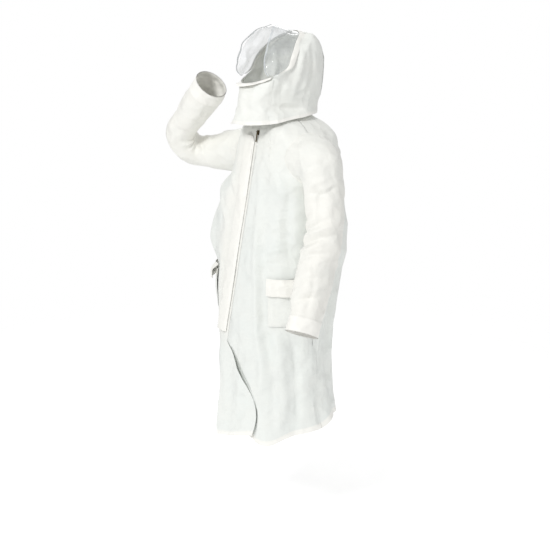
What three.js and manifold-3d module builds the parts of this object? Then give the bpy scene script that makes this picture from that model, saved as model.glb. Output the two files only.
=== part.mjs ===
// Hooded knee-length protective coat with a clear visor: one closed solid for each sewn or moulded piece.
// Millimetres, +Z up. The coat faces -Y and the wearer's left is +X.
// The origin is the middle of the neck opening, where the coat rests on neck and shoulders.
import * as THREE from "three";
import { mergeVertices } from "three/addons/utils/BufferGeometryUtils.js";
import Module from "manifold-3d";

const wasm = await Module();
wasm.setup();

// ---------------------------------------------------------------- driving dimensions
const SHEET = 2; // thickness that stands for the coat's sheet
const GAP = 0.6; // between pieces that are sewn or welded together
const COAT_LENGTH = 1035; // neck to hem
const HEM_DEPTH = 15; // folded strip inside the bottom edge
const SECTION_POWER = 2.5; // roundness of the body's sections, 2 is an ellipse
const BODY_MIDDLE = -10; // y of the body's axis

const CLOSURE_TOP = -42; // height of the zip's top end
const CLOSURE_BOTTOM = -700; // height of its bottom end
const CLOSURE_TOP_X = 12; // the zip leans a little to the wearer's right on its way down
const CLOSURE_BOTTOM_X = -12;
const FRONT_TOP_Y = -99; // the front's y at the zip's top end
const FRONT_SLOPE = 0.164; // how far the front runs forward for each millimetre down
const FRONT_EDGE = 8; // from the zip's middle to each front edge
const LAP_START = CLOSURE_BOTTOM - 15; // below this the right front laps over the left one
const LAP_STANDOFF = 7;

const ARMHOLE_RADIUS = 82;
const ARMHOLE_Y = -8;
const ARMHOLE_Z = -128;
const ARMHOLE_CLEARANCE = 3;
const COLLAR_END_X = 118; // how far each sleeve's round head reaches into the body
const SLEEVE_HEAD_X = 178;
const ELBOW_BEND = 64; // bend radius of the raised arm's elbow
const ELBOW_RADIUS = 49;
const CUFF_DEPTH = 45;
const CUFF_RADIUS = 52;

const COLLAR_HEIGHT = 38;
const HOOD_POWER = 2.15;
const HOOD_STRIP_HALF = 50; // half-width of the hood's centre strip
const GUARD_HALF = 75; // half-width of the face guard
const GUARD_HEM_DEPTH = 10;
const BEHIND_FACE = -60; // y between the guard in front and the centre strip behind
const FILM = 1.2; // thickness of the visor's film
const FILM_HEM = 2; // thickness of its free edge
const FILM_LIFT = 2.4; // from the hood's outer surface to the film
const BINDING = 1.6; // thickness of the band over the film's joined edge

const ZIP_TAPE_WIDTH = 14;
const ZIP_TAPE_Y = 4.6; // depth of the tapes behind the front edges
const ZIP_TAPE = 1.2;
const COIL_WIDTH = 2.7;
const COIL_DEPTH = 2.2;
const COIL_SLIT = 0.3;
const SLIDER_TOP = -2; // below the zip's top end
const SLIDER_LENGTH = 14;
const SLIDER_HALF = 6.5;
const SLIDER_PLATE = [-0.2, 1.8]; // the slider plate's outer and inner y
const PULLER_LENGTH = 32;
const PULLER_WIDTH = 5;
const PULLER_THICKNESS = 1.6;
const PULLER_AXIS_Y = -2.9;
const PULLER_AXIS_DROP = 5; // below the slider's top
const PULLER_EYE_RADIUS = 2.1;
const PULLER_HOLE_RADIUS = 1.2;
const PULLER_PIN_RADIUS = 0.8;
const LUG = 1.2; // thickness of each of the slider's two lugs
const LUG_REACH = 1.5; // from the puller's axis to the lugs' outer ends
const STOP_LENGTH = 4.6; // of each metal stop at the zip's top end
const BOTTOM_BOX = [8, 9, 1.2]; // the metal box at the zip's bottom end: width, height and thickness
const PLACKET_WIDTH = 54;
const PLACKET_STANDOFF = 4.4;
const PATCH_LENGTH = 40;
const PATCH_WIDTH = 12;
const PATCH_COUNT = 3;

const POCKET_WIDTH = 138;
const POCKET_HEIGHT = 130;
const POCKET_ROOM = 12; // depth of the pocket's space
const FLAP_WIDTH = 144;
const FLAP_HEIGHT = 52;
const POCKET_TOP = -490; // height of the flap's sewn edge
const POCKET_TURN = THREE.MathUtils.degToRad(54); // from facing straight ahead
const POCKET_SHIFT = 30; // from the body's axis, along the pocket's mouth

// ---------------------------------------------------------------- small helpers
const vec = (x, y, z) => new THREE.Vector3(x, y, z);
const signedPower = (value, power) => Math.sign(value) * Math.abs(value) ** power;

// Straight-line reading of a table whose rows start with a falling height.
function readTable(table, height, column) {
  let row = 0;
  while (row < table.length - 2 && height < table[row + 1][0]) row += 1;
  const [high, low] = [table[row], table[row + 1]];
  const share = (height - high[0]) / (low[0] - high[0]);
  return high[column] + (low[column] - high[column]) * share;
}

function smooth(value, from, to) {
  const share = THREE.MathUtils.clamp((value - from) / (to - from), 0, 1);
  return share * share * (3 - 2 * share);
}

function toSolid(geometry) {
  const bare = geometry.clone();
  bare.deleteAttribute("normal");
  bare.deleteAttribute("uv");
  const merged = mergeVertices(bare, 1e-3);
  const source = merged.index.array;
  const triangles = [];
  for (let i = 0; i < source.length; i += 3) {
    const [a, b, c] = [source[i], source[i + 1], source[i + 2]];
    if (a !== b && b !== c && c !== a) triangles.push(a, b, c);
  }
  const vertProperties = new Float32Array(merged.attributes.position.array);
  const triVerts = new Uint32Array(triangles);
  return new wasm.Manifold(new wasm.Mesh({ numProp: 3, vertProperties, triVerts }));
}

function toGeometry(solid) {
  const mesh = solid.getMesh();
  const geometry = new THREE.BufferGeometry();
  geometry.setAttribute("position", new THREE.BufferAttribute(mesh.vertProperties, 3));
  geometry.setIndex(new THREE.BufferAttribute(mesh.triVerts, 1));
  geometry.computeVertexNormals();
  return geometry;
}

const cut = (geometry, ...tools) =>
  toGeometry(tools.reduce((solid, tool) => solid.subtract(toSolid(tool)), toSolid(geometry)));
const join = (geometry, ...others) =>
  toGeometry(others.reduce((solid, other) => solid.add(toSolid(other)), toSolid(geometry)));
const common = (geometry, tool) => toGeometry(toSolid(geometry).intersect(toSolid(tool)));

function block(x0, x1, y0, y1, z0, z1) {
  const box = new THREE.BoxGeometry(x1 - x0, y1 - y0, z1 - z0);
  return box.translate((x0 + x1) / 2, (y0 + y1) / 2, (z0 + z1) / 2);
}

// A flat outline, given in (y, z), carried along x from -half to +half.
function prismAlongX(shape, half) {
  const solid = new THREE.ExtrudeGeometry(shape, { depth: 2 * half, bevelEnabled: false });
  const turned = new THREE.Matrix4().makeBasis(vec(0, 1, 0), vec(0, 0, 1), vec(1, 0, 0));
  return solid.translate(0, 0, -half).applyMatrix4(turned);
}

// A sheet with thickness: two skins over the same grid, joined along their rims.
// outer and inner give a point for u and v from 0 to 1, and a round sheet closes on itself in u.
function thickSheet(outer, inner, columns, rows, round = false) {
  const across = round ? columns : columns + 1;
  const points = [];
  for (const skin of [outer, inner])
    for (let j = 0; j <= rows; j += 1)
      for (let i = 0; i < across; i += 1) points.push(...skin(i / columns, j / rows).toArray());
  const at = (skin, i, j) => skin * across * (rows + 1) + j * across + (i % across);
  const faces = [];
  const quad = (a, b, c, d) => faces.push(a, b, c, a, c, d);
  for (let j = 0; j < rows; j += 1)
    for (let i = 0; i < columns; i += 1) {
      quad(at(0, i, j), at(0, i + 1, j), at(0, i + 1, j + 1), at(0, i, j + 1));
      quad(at(1, i, j), at(1, i, j + 1), at(1, i + 1, j + 1), at(1, i + 1, j));
    }
  for (let i = 0; i < columns; i += 1) {
    quad(at(1, i, 0), at(1, i + 1, 0), at(0, i + 1, 0), at(0, i, 0));
    quad(at(0, i, rows), at(0, i + 1, rows), at(1, i + 1, rows), at(1, i, rows));
  }
  for (let j = 0; j < rows && !round; j += 1) {
    quad(at(0, 0, j), at(0, 0, j + 1), at(1, 0, j + 1), at(1, 0, j));
    quad(at(1, columns, j), at(1, columns, j + 1), at(0, columns, j + 1), at(0, columns, j));
  }
  const geometry = new THREE.BufferGeometry();
  geometry.setAttribute("position", new THREE.Float32BufferAttribute(points, 3));
  geometry.setIndex(signedVolume(points, faces) < 0 ? faces.reverse() : faces);
  return geometry;
}

function signedVolume(points, faces) {
  const corner = (index) => vec(...points.slice(3 * index, 3 * index + 3));
  let volume = 0;
  for (let i = 0; i < faces.length; i += 3) {
    const [a, b, c] = [corner(faces[i]), corner(faces[i + 1]), corner(faces[i + 2])];
    volume += a.dot(b.cross(c)) / 6;
  }
  return volume;
}

const CLOTH = { color: 0xf3f2ea, roughness: 0.75, metalness: 0 };
const TRIM = { color: 0xfbfaf4, roughness: 0.7, metalness: 0 };
const CLEAR = { color: 0xeef2f4, roughness: 0.12, metalness: 0, transparent: true, opacity: 0.35 };
const BRASS = { color: 0x6b5a3a, roughness: 0.4, metalness: 0.9 };
const NYLON = { color: 0xe9e8e0, roughness: 0.5, metalness: 0 };

const coat = new THREE.Group();
function add(name, geometry, finish, parent = coat) {
  const mesh = new THREE.Mesh(geometry, new THREE.MeshStandardMaterial(finish));
  mesh.name = name;
  parent.add(mesh);
}

// ---------------------------------------------------------------- body
// Height, right half-width, left half-width and back y of the body's outer surface.
const BODY = [
  [0, 76, 76, 92],
  [-25, 126, 126, 104],
  [-60, 167, 167, 124],
  [-100, 190, 190, 146],
  [-140, 198, 194, 164],
  [-200, 203, 191, 177],
  [-260, 232, 191, 185],
  [-330, 250, 194, 186],
  [-440, 260, 194, 178],
  [-560, 238, 195, 154],
  [-640, 212, 198, 138],
  [-700, 198, 200, 130],
  [-800, 190, 204, 128],
  [-920, 188, 212, 134],
  [-1035, 196, 218, 146],
  [-1400, 220, 236, 164],
];
const NECK_FRONT_Y = -70;
const LOWER_FRONT_SLOPE = 0.05; // below the zip's bottom end

function frontY(z) {
  const bottomY = FRONT_TOP_Y - FRONT_SLOPE * (CLOSURE_TOP - CLOSURE_BOTTOM);
  if (z > CLOSURE_TOP) return NECK_FRONT_Y + (FRONT_TOP_Y - NECK_FRONT_Y) * (z / CLOSURE_TOP) ** 0.7;
  if (z > CLOSURE_BOTTOM) return FRONT_TOP_Y - FRONT_SLOPE * (CLOSURE_TOP - z);
  return bottomY - LOWER_FRONT_SLOPE * (CLOSURE_BOTTOM - z);
}

const closureX = (z) =>
  CLOSURE_TOP_X + ((CLOSURE_BOTTOM_X - CLOSURE_TOP_X) * (CLOSURE_TOP - z)) / (CLOSURE_TOP - CLOSURE_BOTTOM);
const halfWidth = (z, side) => readTable(BODY, z, side < 0 ? 1 : 2);

// A point of the body: theta 0 is the front, a quarter turn is the wearer's left side.
function bodyPoint(theta, z, inset) {
  const width = halfWidth(z, Math.sin(theta)) - inset;
  const front = BODY_MIDDLE - frontY(z) - inset;
  const back = readTable(BODY, z, 3) - BODY_MIDDLE - inset;
  const depth = Math.cos(theta) > 0 ? front : back;
  const x = width * signedPower(Math.sin(theta), 2 / SECTION_POWER);
  const y = BODY_MIDDLE - depth * signedPower(Math.cos(theta), 2 / SECTION_POWER);
  return vec(x, y, z - inset * smooth(z, -150, -50));
}

// The angle at which the body's front passes through the given x.
function angleAtX(x, z) {
  return Math.sign(x) * Math.asin((Math.abs(x) / halfWidth(z, x)) ** (SECTION_POWER / 2));
}

const SEAM_ANGLE = 0.003; // half of the gap at each side seam
const SIDE = Math.PI / 2;

// The right front's free edge below the zip: x for each height.
const LAP_EDGE = [
  [LAP_START, -6],
  [-775, 46],
  [-850, 104],
  [-905, 132],
  [-1035, 118],
  [-1400, 100],
];
function rightEdgeX(z) {
  return z > LAP_START ? closureX(z) - FRONT_EDGE : readTable(LAP_EDGE, z, 1);
}

const leftFrontAngles = (z) => [angleAtX(closureX(z) + FRONT_EDGE, z), SIDE - SEAM_ANGLE];
const rightFrontAngles = (z) => [SEAM_ANGLE - SIDE, angleAtX(rightEdgeX(z), z)];
const backAngles = () => [SIDE + SEAM_ANGLE, 3 * SIDE - SEAM_ANGLE];
const lapStandoff = (theta, z) =>
  LAP_STANDOFF * smooth(-z, -CLOSURE_BOTTOM - 10, -CLOSURE_BOTTOM + 40) * smooth(theta, -0.6, -0.1);

// A panel of the body between two heights and two angles, lying inset inside the outer surface.
function bodyPanel(angles, top, bottom, inset, columns, rows, lap = false) {
  const skin = (depth) => (u, v) => {
    const z = top + (bottom - top) * v ** (top > -50 ? 1.5 : 1);
    const [from, to] = angles(z);
    const theta = from + (to - from) * u;
    const point = bodyPoint(theta, z, inset + depth);
    if (lap) point.y -= lapStandoff(theta, z);
    return point;
  };
  return thickSheet(skin(0), skin(SHEET), columns, rows);
}

function armhole(side) {
  const length = 200;
  const cylinder = new THREE.CylinderGeometry(ARMHOLE_RADIUS, ARMHOLE_RADIUS, length, 40);
  return cylinder.rotateZ(Math.PI / 2).translate(side * (80 + length / 2), ARMHOLE_Y, ARMHOLE_Z);
}

function addBody() {
  const bottom = -COAT_LENGTH;
  const left = bodyPanel(leftFrontAngles, 0, bottom, 0, 12, 26);
  const right = bodyPanel(rightFrontAngles, 0, bottom, 0, 14, 30, true);
  const back = bodyPanel(backAngles, 0, bottom, 0, 22, 24);
  add("front_panel_left", cut(left, armhole(1)), CLOTH);
  add("front_panel_right", cut(right, armhole(-1)), CLOTH);
  add("back_panel", cut(back, armhole(1), armhole(-1)), CLOTH);
  const hemInset = SHEET + GAP;
  const hemTop = bottom + HEM_DEPTH;
  add("hem_strip_left", bodyPanel(leftFrontAngles, hemTop, bottom, hemInset, 12, 1), TRIM);
  add("hem_strip_right", bodyPanel(rightFrontAngles, hemTop, bottom, hemInset, 14, 1, true), TRIM);
  add("hem_strip_back", bodyPanel(backAngles, hemTop, bottom, hemInset, 22, 1), TRIM);
}

// ---------------------------------------------------------------- neck
const COLLAR_OPENING = 0.32; // half-angle of the collar's front gap
function neckBand(inset, low, high, from, to, columns) {
  const skin = (depth) => (u, v) => {
    const point = bodyPoint(from + (to - from) * u, 0, inset + depth);
    point.z = low + (high - low) * v;
    return point;
  };
  return thickSheet(skin(0), skin(SHEET), columns, 2);
}

function addNeck() {
  const collarInset = 2 * SHEET + 3;
  const collarFrom = COLLAR_OPENING;
  const collarTo = 2 * Math.PI - COLLAR_OPENING;
  add("stand_collar", neckBand(collarInset, -8, COLLAR_HEIGHT, collarFrom, collarTo, 30), CLOTH);
  const bandInset = collarInset - SHEET - GAP;
  add("neck_seam_band", neckBand(bandInset, 3, 15, SIDE, 3 * SIDE, 16), TRIM);
}

// ---------------------------------------------------------------- closure, in its own frame
// Local x runs across to the wearer's left, local -y out of the coat and local z up the zip.
const closureStart = vec(closureX(CLOSURE_TOP), frontY(CLOSURE_TOP), CLOSURE_TOP);
const closureEnd = vec(closureX(CLOSURE_BOTTOM), frontY(CLOSURE_BOTTOM), CLOSURE_BOTTOM);
const ZIP_LENGTH = closureStart.distanceTo(closureEnd);

function closureFrame() {
  const up = closureStart.clone().sub(closureEnd).normalize();
  const across = vec(1, 0, 0).addScaledVector(up, -up.x).normalize();
  const group = new THREE.Group();
  const inward = up.clone().cross(across);
  group.setRotationFromMatrix(new THREE.Matrix4().makeBasis(across, inward, up));
  group.position.copy(closureStart);
  coat.add(group);
  return group;
}

function sliderGeometry(z) {
  const plate = block(-SLIDER_HALF, SLIDER_HALF, ...SLIDER_PLATE, z - SLIDER_LENGTH, z);
  const axisZ = z - PULLER_AXIS_DROP;
  const lugs = [-1, 1].map((side) => {
    const x = side * (PULLER_WIDTH / 2 + 0.4 + LUG / 2);
    return block(x - LUG / 2, x + LUG / 2, PULLER_AXIS_Y - LUG_REACH, 0, axisZ - 2, axisZ + 2);
  });
  const pinLength = PULLER_WIDTH + 2 * LUG;
  const pin = new THREE.CylinderGeometry(PULLER_PIN_RADIUS, PULLER_PIN_RADIUS, pinLength, 12);
  pin.rotateZ(Math.PI / 2).translate(0, PULLER_AXIS_Y, axisZ);
  return join(plate, ...lugs, pin);
}

function pullerGeometry(z) {
  const axisZ = z - PULLER_AXIS_DROP;
  const eye = new THREE.CylinderGeometry(PULLER_EYE_RADIUS, PULLER_EYE_RADIUS, PULLER_WIDTH, 20);
  eye.rotateZ(Math.PI / 2).translate(0, PULLER_AXIS_Y, axisZ);
  const hole = new THREE.CylinderGeometry(PULLER_HOLE_RADIUS, PULLER_HOLE_RADIUS, PULLER_WIDTH + 2, 16);
  hole.rotateZ(Math.PI / 2).translate(0, PULLER_AXIS_Y, axisZ);
  const half = PULLER_WIDTH / 2;
  const tabY = [PULLER_AXIS_Y - PULLER_THICKNESS / 2, PULLER_AXIS_Y + PULLER_THICKNESS / 2];
  const tab = block(-half, half, ...tabY, axisZ - PULLER_LENGTH, axisZ - PULLER_HOLE_RADIUS - 0.4);
  return cut(join(eye, tab), hole);
}

function addClosure() {
  const frame = closureFrame();
  const bottom = -ZIP_LENGTH;
  const [boxWidth, boxHeight, boxThickness] = BOTTOM_BOX;
  for (const [side, word] of [[1, "left"], [-1, "right"]]) {
    const span = (near, far) => [Math.min(side * near, side * far), Math.max(side * near, side * far)];
    const tapeNear = COIL_SLIT + COIL_WIDTH + 0.4;
    const tapeSpan = span(tapeNear, tapeNear + ZIP_TAPE_WIDTH);
    const tape = block(...tapeSpan, ZIP_TAPE_Y, ZIP_TAPE_Y + ZIP_TAPE, bottom, SLIDER_TOP);
    add("zip_tape_" + word, tape, NYLON, frame);
    const coilTop = SLIDER_TOP - SLIDER_LENGTH - 2;
    const coilSpan = span(COIL_SLIT, COIL_SLIT + COIL_WIDTH);
    const coilY = [ZIP_TAPE_Y - 1, ZIP_TAPE_Y - 1 + COIL_DEPTH];
    add("zip_coil_" + word, block(...coilSpan, ...coilY, bottom + boxHeight + 1, coilTop), NYLON, frame);
    const stop = block(...coilSpan, ...coilY, coilTop + 0.4, coilTop + 0.4 + STOP_LENGTH);
    add("zip_top_stop_" + word, stop, BRASS, frame);
  }
  const boxY = ZIP_TAPE_Y - 0.4 - boxThickness;
  const box = block(-boxWidth / 2, boxWidth / 2, boxY, boxY + boxThickness, bottom, bottom + boxHeight);
  add("zip_bottom_box", box, BRASS, frame);
  add("zip_slider", sliderGeometry(SLIDER_TOP), BRASS, frame);
  add("zip_puller", pullerGeometry(SLIDER_TOP), BRASS, frame);
  addPlacket(frame);
}

// The placket is sewn along its edge on the wearer's right, and its free edge stops beside the zip.
function addPlacket(frame) {
  const free = -FRONT_EDGE - GAP;
  const sewn = free - PLACKET_WIDTH;
  const top = -22;
  const bottom = -ZIP_LENGTH + 12;
  const outline = new THREE.Shape();
  outline.moveTo(sewn, bottom);
  outline.lineTo(free, bottom);
  outline.lineTo(free, top - 20);
  outline.lineTo(free - 14, top);
  outline.lineTo(sewn, top);
  const plate = new THREE.ExtrudeGeometry(outline, { depth: SHEET, bevelEnabled: false });
  plate.rotateX(SIDE).translate(0, -PLACKET_STANDOFF, 0);
  const lip = block(sewn, sewn + SHEET, -PLACKET_STANDOFF - 1, 0.4, bottom, top);
  add("storm_placket", join(plate, lip), CLOTH, frame);
  const pitch = (top - bottom - 120) / (PATCH_COUNT - 1);
  for (let i = 0; i < PATCH_COUNT; i += 1) {
    const high = top - 40 - i * pitch;
    const span = [free - 6 - PATCH_WIDTH, free - 6];
    const reach = [high - PATCH_LENGTH, high];
    const loopY = [-PLACKET_STANDOFF + GAP / 2, -PLACKET_STANDOFF + GAP / 2 + 1];
    add("placket_loop_patch_" + (i + 1), block(...span, ...loopY, ...reach), NYLON, frame);
    const hookY = [loopY[1] + GAP / 2, loopY[1] + GAP / 2 + 1];
    add("front_hook_patch_" + (i + 1), block(...span, ...hookY, ...reach), NYLON, frame);
  }
}

// ---------------------------------------------------------------- pockets
// Local x runs along the sewn edge, local -y out of the coat and local z up.
function pocketGeometry() {
  const half = POCKET_WIDTH / 2;
  const top = -18;
  const bottom = top - POCKET_HEIGHT;
  const tray = block(-half, half, -POCKET_ROOM - SHEET, 0, bottom, top);
  const room = block(-half + SHEET, half - SHEET, -POCKET_ROOM, -SHEET, bottom + SHEET, top + 10);
  return cut(tray, room);
}

function flapGeometry() {
  const half = FLAP_WIDTH / 2;
  const outer = -POCKET_ROOM - SHEET - GAP - 1.6;
  const outline = new THREE.Shape();
  outline.moveTo(-1.5, 0);
  outline.lineTo(outer - SHEET, -8);
  outline.lineTo(outer - SHEET, -FLAP_HEIGHT);
  outline.lineTo(outer, -FLAP_HEIGHT);
  outline.lineTo(outer, -8.6);
  outline.lineTo(-1.5, -2.4);
  return prismAlongX(outline, half);
}

// How far the body reaches in the direction that a pocket faces, over the pocket's height.
function bodyReach(out) {
  let reach = 0;
  for (let z = POCKET_TOP; z > POCKET_TOP - POCKET_HEIGHT - 20; z -= 10)
    for (let theta = 0; theta < SIDE; theta += 0.03)
      reach = Math.max(reach, bodyPoint(Math.sign(out.x) * theta, z, 0).setZ(0).dot(out));
  return reach;
}

function addPocket(side, word) {
  const frame = new THREE.Group();
  const out = vec(side * Math.sin(POCKET_TURN), -Math.cos(POCKET_TURN), 0);
  const along = vec(side * Math.cos(POCKET_TURN), Math.sin(POCKET_TURN), 0);
  frame.position.copy(out).multiplyScalar(bodyReach(out) + GAP);
  frame.position.addScaledVector(along, POCKET_SHIFT).setZ(POCKET_TOP);
  frame.rotation.z = side * POCKET_TURN;
  coat.add(frame);
  add("pocket_" + word, pocketGeometry(), CLOTH, frame);
  add("pocket_flap_" + word, flapGeometry(), CLOTH, frame);
  const patchY = -POCKET_ROOM - SHEET - GAP / 2;
  const patch = block(-18, 18, patchY - 1.4, patchY - 0.2, -FLAP_HEIGHT + 6, -FLAP_HEIGHT + 18);
  add("flap_loop_patch_" + word, patch, NYLON, frame);
}

// ---------------------------------------------------------------- sleeves
// A tube through rings. A ring has a centre, a direction, a reference for its second axis, and
// two radii: the first across the reference, the second along it.
function ringPoint(ring, angle, wall) {
  const along = ring.way.clone().normalize();
  const second = ring.reference.clone();
  second.addScaledVector(along, -second.dot(along)).normalize();
  const first = second.clone().cross(along);
  const point = ring.centre.clone();
  point.addScaledVector(first, (ring.radii[0] - wall) * Math.cos(angle));
  return point.addScaledVector(second, (ring.radii[1] - wall) * Math.sin(angle));
}

function tube(rings, wall = SHEET, columns = 20) {
  const last = rings.length - 1;
  const skin = (depth) => (u, v) => ringPoint(rings[Math.round(v * last)], 2 * Math.PI * u, depth);
  return thickSheet(skin(0), skin(wall), columns, last, true);
}

const ring = (centre, way, radii, reference) => ({ centre, way, radii, reference });
const between = (a, b, share) => a.clone().lerp(b, share);
const HEAD_RADIUS = ARMHOLE_RADIUS - ARMHOLE_CLEARANCE;
// Two radii, each less than the sleeve head's by so much.
const slimmer = (...less) => less.map((amount) => HEAD_RADIUS - amount);

// A cuff hem is a band inside the sleeve's last stretch.
function cuffBand(end, way, radii, reference) {
  const start = end.clone().addScaledVector(way.clone().normalize(), -CUFF_DEPTH + 4);
  const inner = radii.map((radius) => radius - SHEET - GAP);
  return tube([ring(start, way, inner, reference), ring(end, way, inner, reference)]);
}

// The hanging arm, the wearer's left.
const LEFT_ELBOW = vec(296, -46, -345);
const LEFT_CUFF = vec(353, -165, -612);
const LEFT_CUFF_RADII = [40, 50];
const LEFT_ELBOW_RADII = [54, 60];
const LEFT_ELBOW_WAY = vec(0.25, -0.26, -0.93).normalize();

function addLeftArm() {
  const y = vec(0, 1, 0);
  const axis = (x) => vec(x, ARMHOLE_Y, ARMHOLE_Z);
  const round = [HEAD_RADIUS, HEAD_RADIUS];
  const elbow = ring(LEFT_ELBOW, LEFT_ELBOW_WAY, LEFT_ELBOW_RADII, y);
  const upper = [
    ring(axis(COLLAR_END_X), vec(1, 0, 0), round, y),
    ring(axis(SLEEVE_HEAD_X), vec(1, 0, 0), round, y),
    ring(vec(226, ARMHOLE_Y - 6, ARMHOLE_Z - 10), vec(0.9, 0, -0.44), slimmer(5, 6), y),
    ring(vec(254, ARMHOLE_Y - 12, ARMHOLE_Z - 54), vec(0.5, -0.06, -0.87), slimmer(19, 12), y),
    ring(vec(270, ARMHOLE_Y - 18, ARMHOLE_Z - 110), vec(0.27, -0.1, -0.96), [56, 62], y),
    ring(vec(283, -33, -292), vec(0.22, -0.17, -0.96), [54, 60], y),
    elbow,
  ];
  add("upper_sleeve_left", tube(upper), CLOTH);
  const way = LEFT_CUFF.clone().sub(LEFT_ELBOW);
  const start = LEFT_ELBOW.clone().addScaledVector(LEFT_ELBOW_WAY, GAP);
  const cuffTop = LEFT_CUFF.clone().addScaledVector(way.clone().normalize(), -CUFF_DEPTH);
  const lower = [
    ring(start, LEFT_ELBOW_WAY, LEFT_ELBOW_RADII, y),
    ring(between(LEFT_ELBOW, LEFT_CUFF, 0.3), way, [54, 58], y),
    ring(between(LEFT_ELBOW, LEFT_CUFF, 0.6), way, [52, 56], y),
    ring(cuffTop, way, [43, 52], y),
    ring(LEFT_CUFF, way, LEFT_CUFF_RADII, y),
  ];
  add("lower_sleeve_left", tube(lower), CLOTH);
  add("cuff_hem_left", cuffBand(LEFT_CUFF, way, LEFT_CUFF_RADII, y), TRIM);
}

// The raised arm, the wearer's right: its elbow is an arc about a centre inside the bend.
const RIGHT_UPPER_WAY = vec(-0.8, -0.6, -0.12).normalize();
const RIGHT_LOWER_WAY = vec(0.74, 0.12, 0.66).normalize();
const RIGHT_ARC_START = vec(-334, -103, -137);
const RIGHT_FOREARM = 215; // from the arc's end to the cuff's edge
const elbowOut = RIGHT_UPPER_WAY.clone().sub(RIGHT_LOWER_WAY).normalize();
const elbowOn = RIGHT_UPPER_WAY.clone().projectOnPlane(elbowOut).normalize();
const elbowSide = elbowOut.clone().cross(elbowOn);
const elbowTurn = Math.acos(RIGHT_UPPER_WAY.dot(elbowOn));
const arcOffset = (angle) =>
  elbowOut.clone().multiplyScalar(Math.cos(angle)).addScaledVector(elbowOn, Math.sin(angle));
const elbowCentre = RIGHT_ARC_START.clone().addScaledVector(arcOffset(-elbowTurn), -ELBOW_BEND);
const ARC_STEPS = 3;

function arcRing(angle) {
  const centre = elbowCentre.clone().addScaledVector(arcOffset(angle), ELBOW_BEND);
  return ring(centre, arcOffset(angle + Math.PI / 2), [ELBOW_RADIUS, ELBOW_RADIUS + 3], elbowSide);
}

function addRightArm() {
  const axis = (x) => vec(-x, ARMHOLE_Y, ARMHOLE_Z);
  const round = [HEAD_RADIUS, HEAD_RADIUS];
  const upper = [
    ring(axis(COLLAR_END_X), vec(-1, 0, 0), round, elbowSide),
    ring(axis(SLEEVE_HEAD_X), vec(-1, 0, 0), round, elbowSide),
    ring(vec(-224, ARMHOLE_Y - 11, ARMHOLE_Z - 2), vec(-0.93, -0.37, -0.06), slimmer(5, 5), elbowSide),
    ring(vec(-260, ARMHOLE_Y - 37, ARMHOLE_Z - 4), RIGHT_UPPER_WAY, slimmer(13, 12), elbowSide),
    ring(vec(-298, ARMHOLE_Y - 67, ARMHOLE_Z - 7), RIGHT_UPPER_WAY, [ELBOW_RADIUS + 7, ELBOW_RADIUS + 9], elbowSide),
  ];
  for (let i = 0; i <= ARC_STEPS; i += 1) upper.push(arcRing(-elbowTurn * (1 - i / ARC_STEPS)));
  add("upper_sleeve_right", tube(upper), CLOTH);
  const lower = [];
  const slit = GAP / ELBOW_BEND;
  for (let i = 0; i <= ARC_STEPS; i += 1) lower.push(arcRing(slit + (elbowTurn - slit) * (i / ARC_STEPS)));
  const arcEnd = lower[ARC_STEPS].centre;
  const cuffRadii = [CUFF_RADIUS, CUFF_RADIUS];
  for (const [reach, radii] of [
    [0.4, [54, 56]],
    [1 - CUFF_DEPTH / RIGHT_FOREARM, [54, 55]],
    [1, cuffRadii],
  ]) {
    const centre = arcEnd.clone().addScaledVector(RIGHT_LOWER_WAY, reach * RIGHT_FOREARM);
    lower.push(ring(centre, RIGHT_LOWER_WAY, radii, elbowSide));
  }
  add("lower_sleeve_right", tube(lower), CLOTH);
  const end = lower[lower.length - 1].centre;
  add("cuff_hem_right", cuffBand(end, RIGHT_LOWER_WAY, cuffRadii, elbowSide), TRIM);
}

// ---------------------------------------------------------------- hood
// Height, half-width, front y and back y of the hood's outer surface, from its hem to its crown.
const HOOD = [
  [256, 0, 14, 14],
  [254, 22, -8, 38],
  [243, 56, -46, 76],
  [220, 86, -80, 104],
  [185, 103, -106, 121],
  [145, 108, -124, 127],
  [100, 104, -136, 124],
  [65, 98, -141, 118],
  [34, 98, -152, 109],
  [14, 102, -162, 106],
  [-6, 114, -171, 103],
];
const HOOD_TILT = 0.06; // the hem is lower in front than at the nape
const CROWN = HOOD[0][0];
const HOOD_HEM = HOOD[HOOD.length - 1][0];

function hoodPoint(theta, level, inset) {
  const width = Math.max(readTable(HOOD, level, 1) - inset, 0);
  const front = readTable(HOOD, level, 2) + inset;
  const back = readTable(HOOD, level, 3) - inset;
  const middle = readTable([[CROWN, 14], [100, 0], [HOOD_HEM, 0]], level, 1);
  const depth = Math.max(Math.cos(theta) > 0 ? middle - front : back - middle, 0);
  const x = width * signedPower(Math.sin(theta), 2 / HOOD_POWER);
  const y = middle - depth * signedPower(Math.cos(theta), 2 / HOOD_POWER);
  const low = 1 - smooth(level, HOOD_HEM, 60);
  return vec(x, y, level + HOOD_TILT * y * low - inset * smooth(level, 170, 240));
}

function hoodShell() {
  const level = (v) => CROWN + (HOOD_HEM - CROWN) * v ** 1.4;
  const skin = (inset) => (u, v) => hoodPoint(2 * Math.PI * u, level(v), inset);
  return thickSheet(skin(0), skin(SHEET), 40, 16, true);
}

// The edge of the hood's opening, as y and z, from the crown to the middle of the guard.
const OPENING = [
  [49, 256], [36, 246], [0, 215], [-26, 180],
  [-45, 145], [-74, 128], [-98, 116], [-136, 100],
];

function openingPrism() {
  const outline = new THREE.Shape();
  outline.moveTo(OPENING[0][0], CROWN + 40);
  for (const [y, z] of OPENING) outline.lineTo(y, z);
  outline.lineTo(-260, OPENING[OPENING.length - 1][1] - 40);
  outline.lineTo(-260, CROWN + 40);
  return prismAlongX(outline, 200);
}

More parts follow.
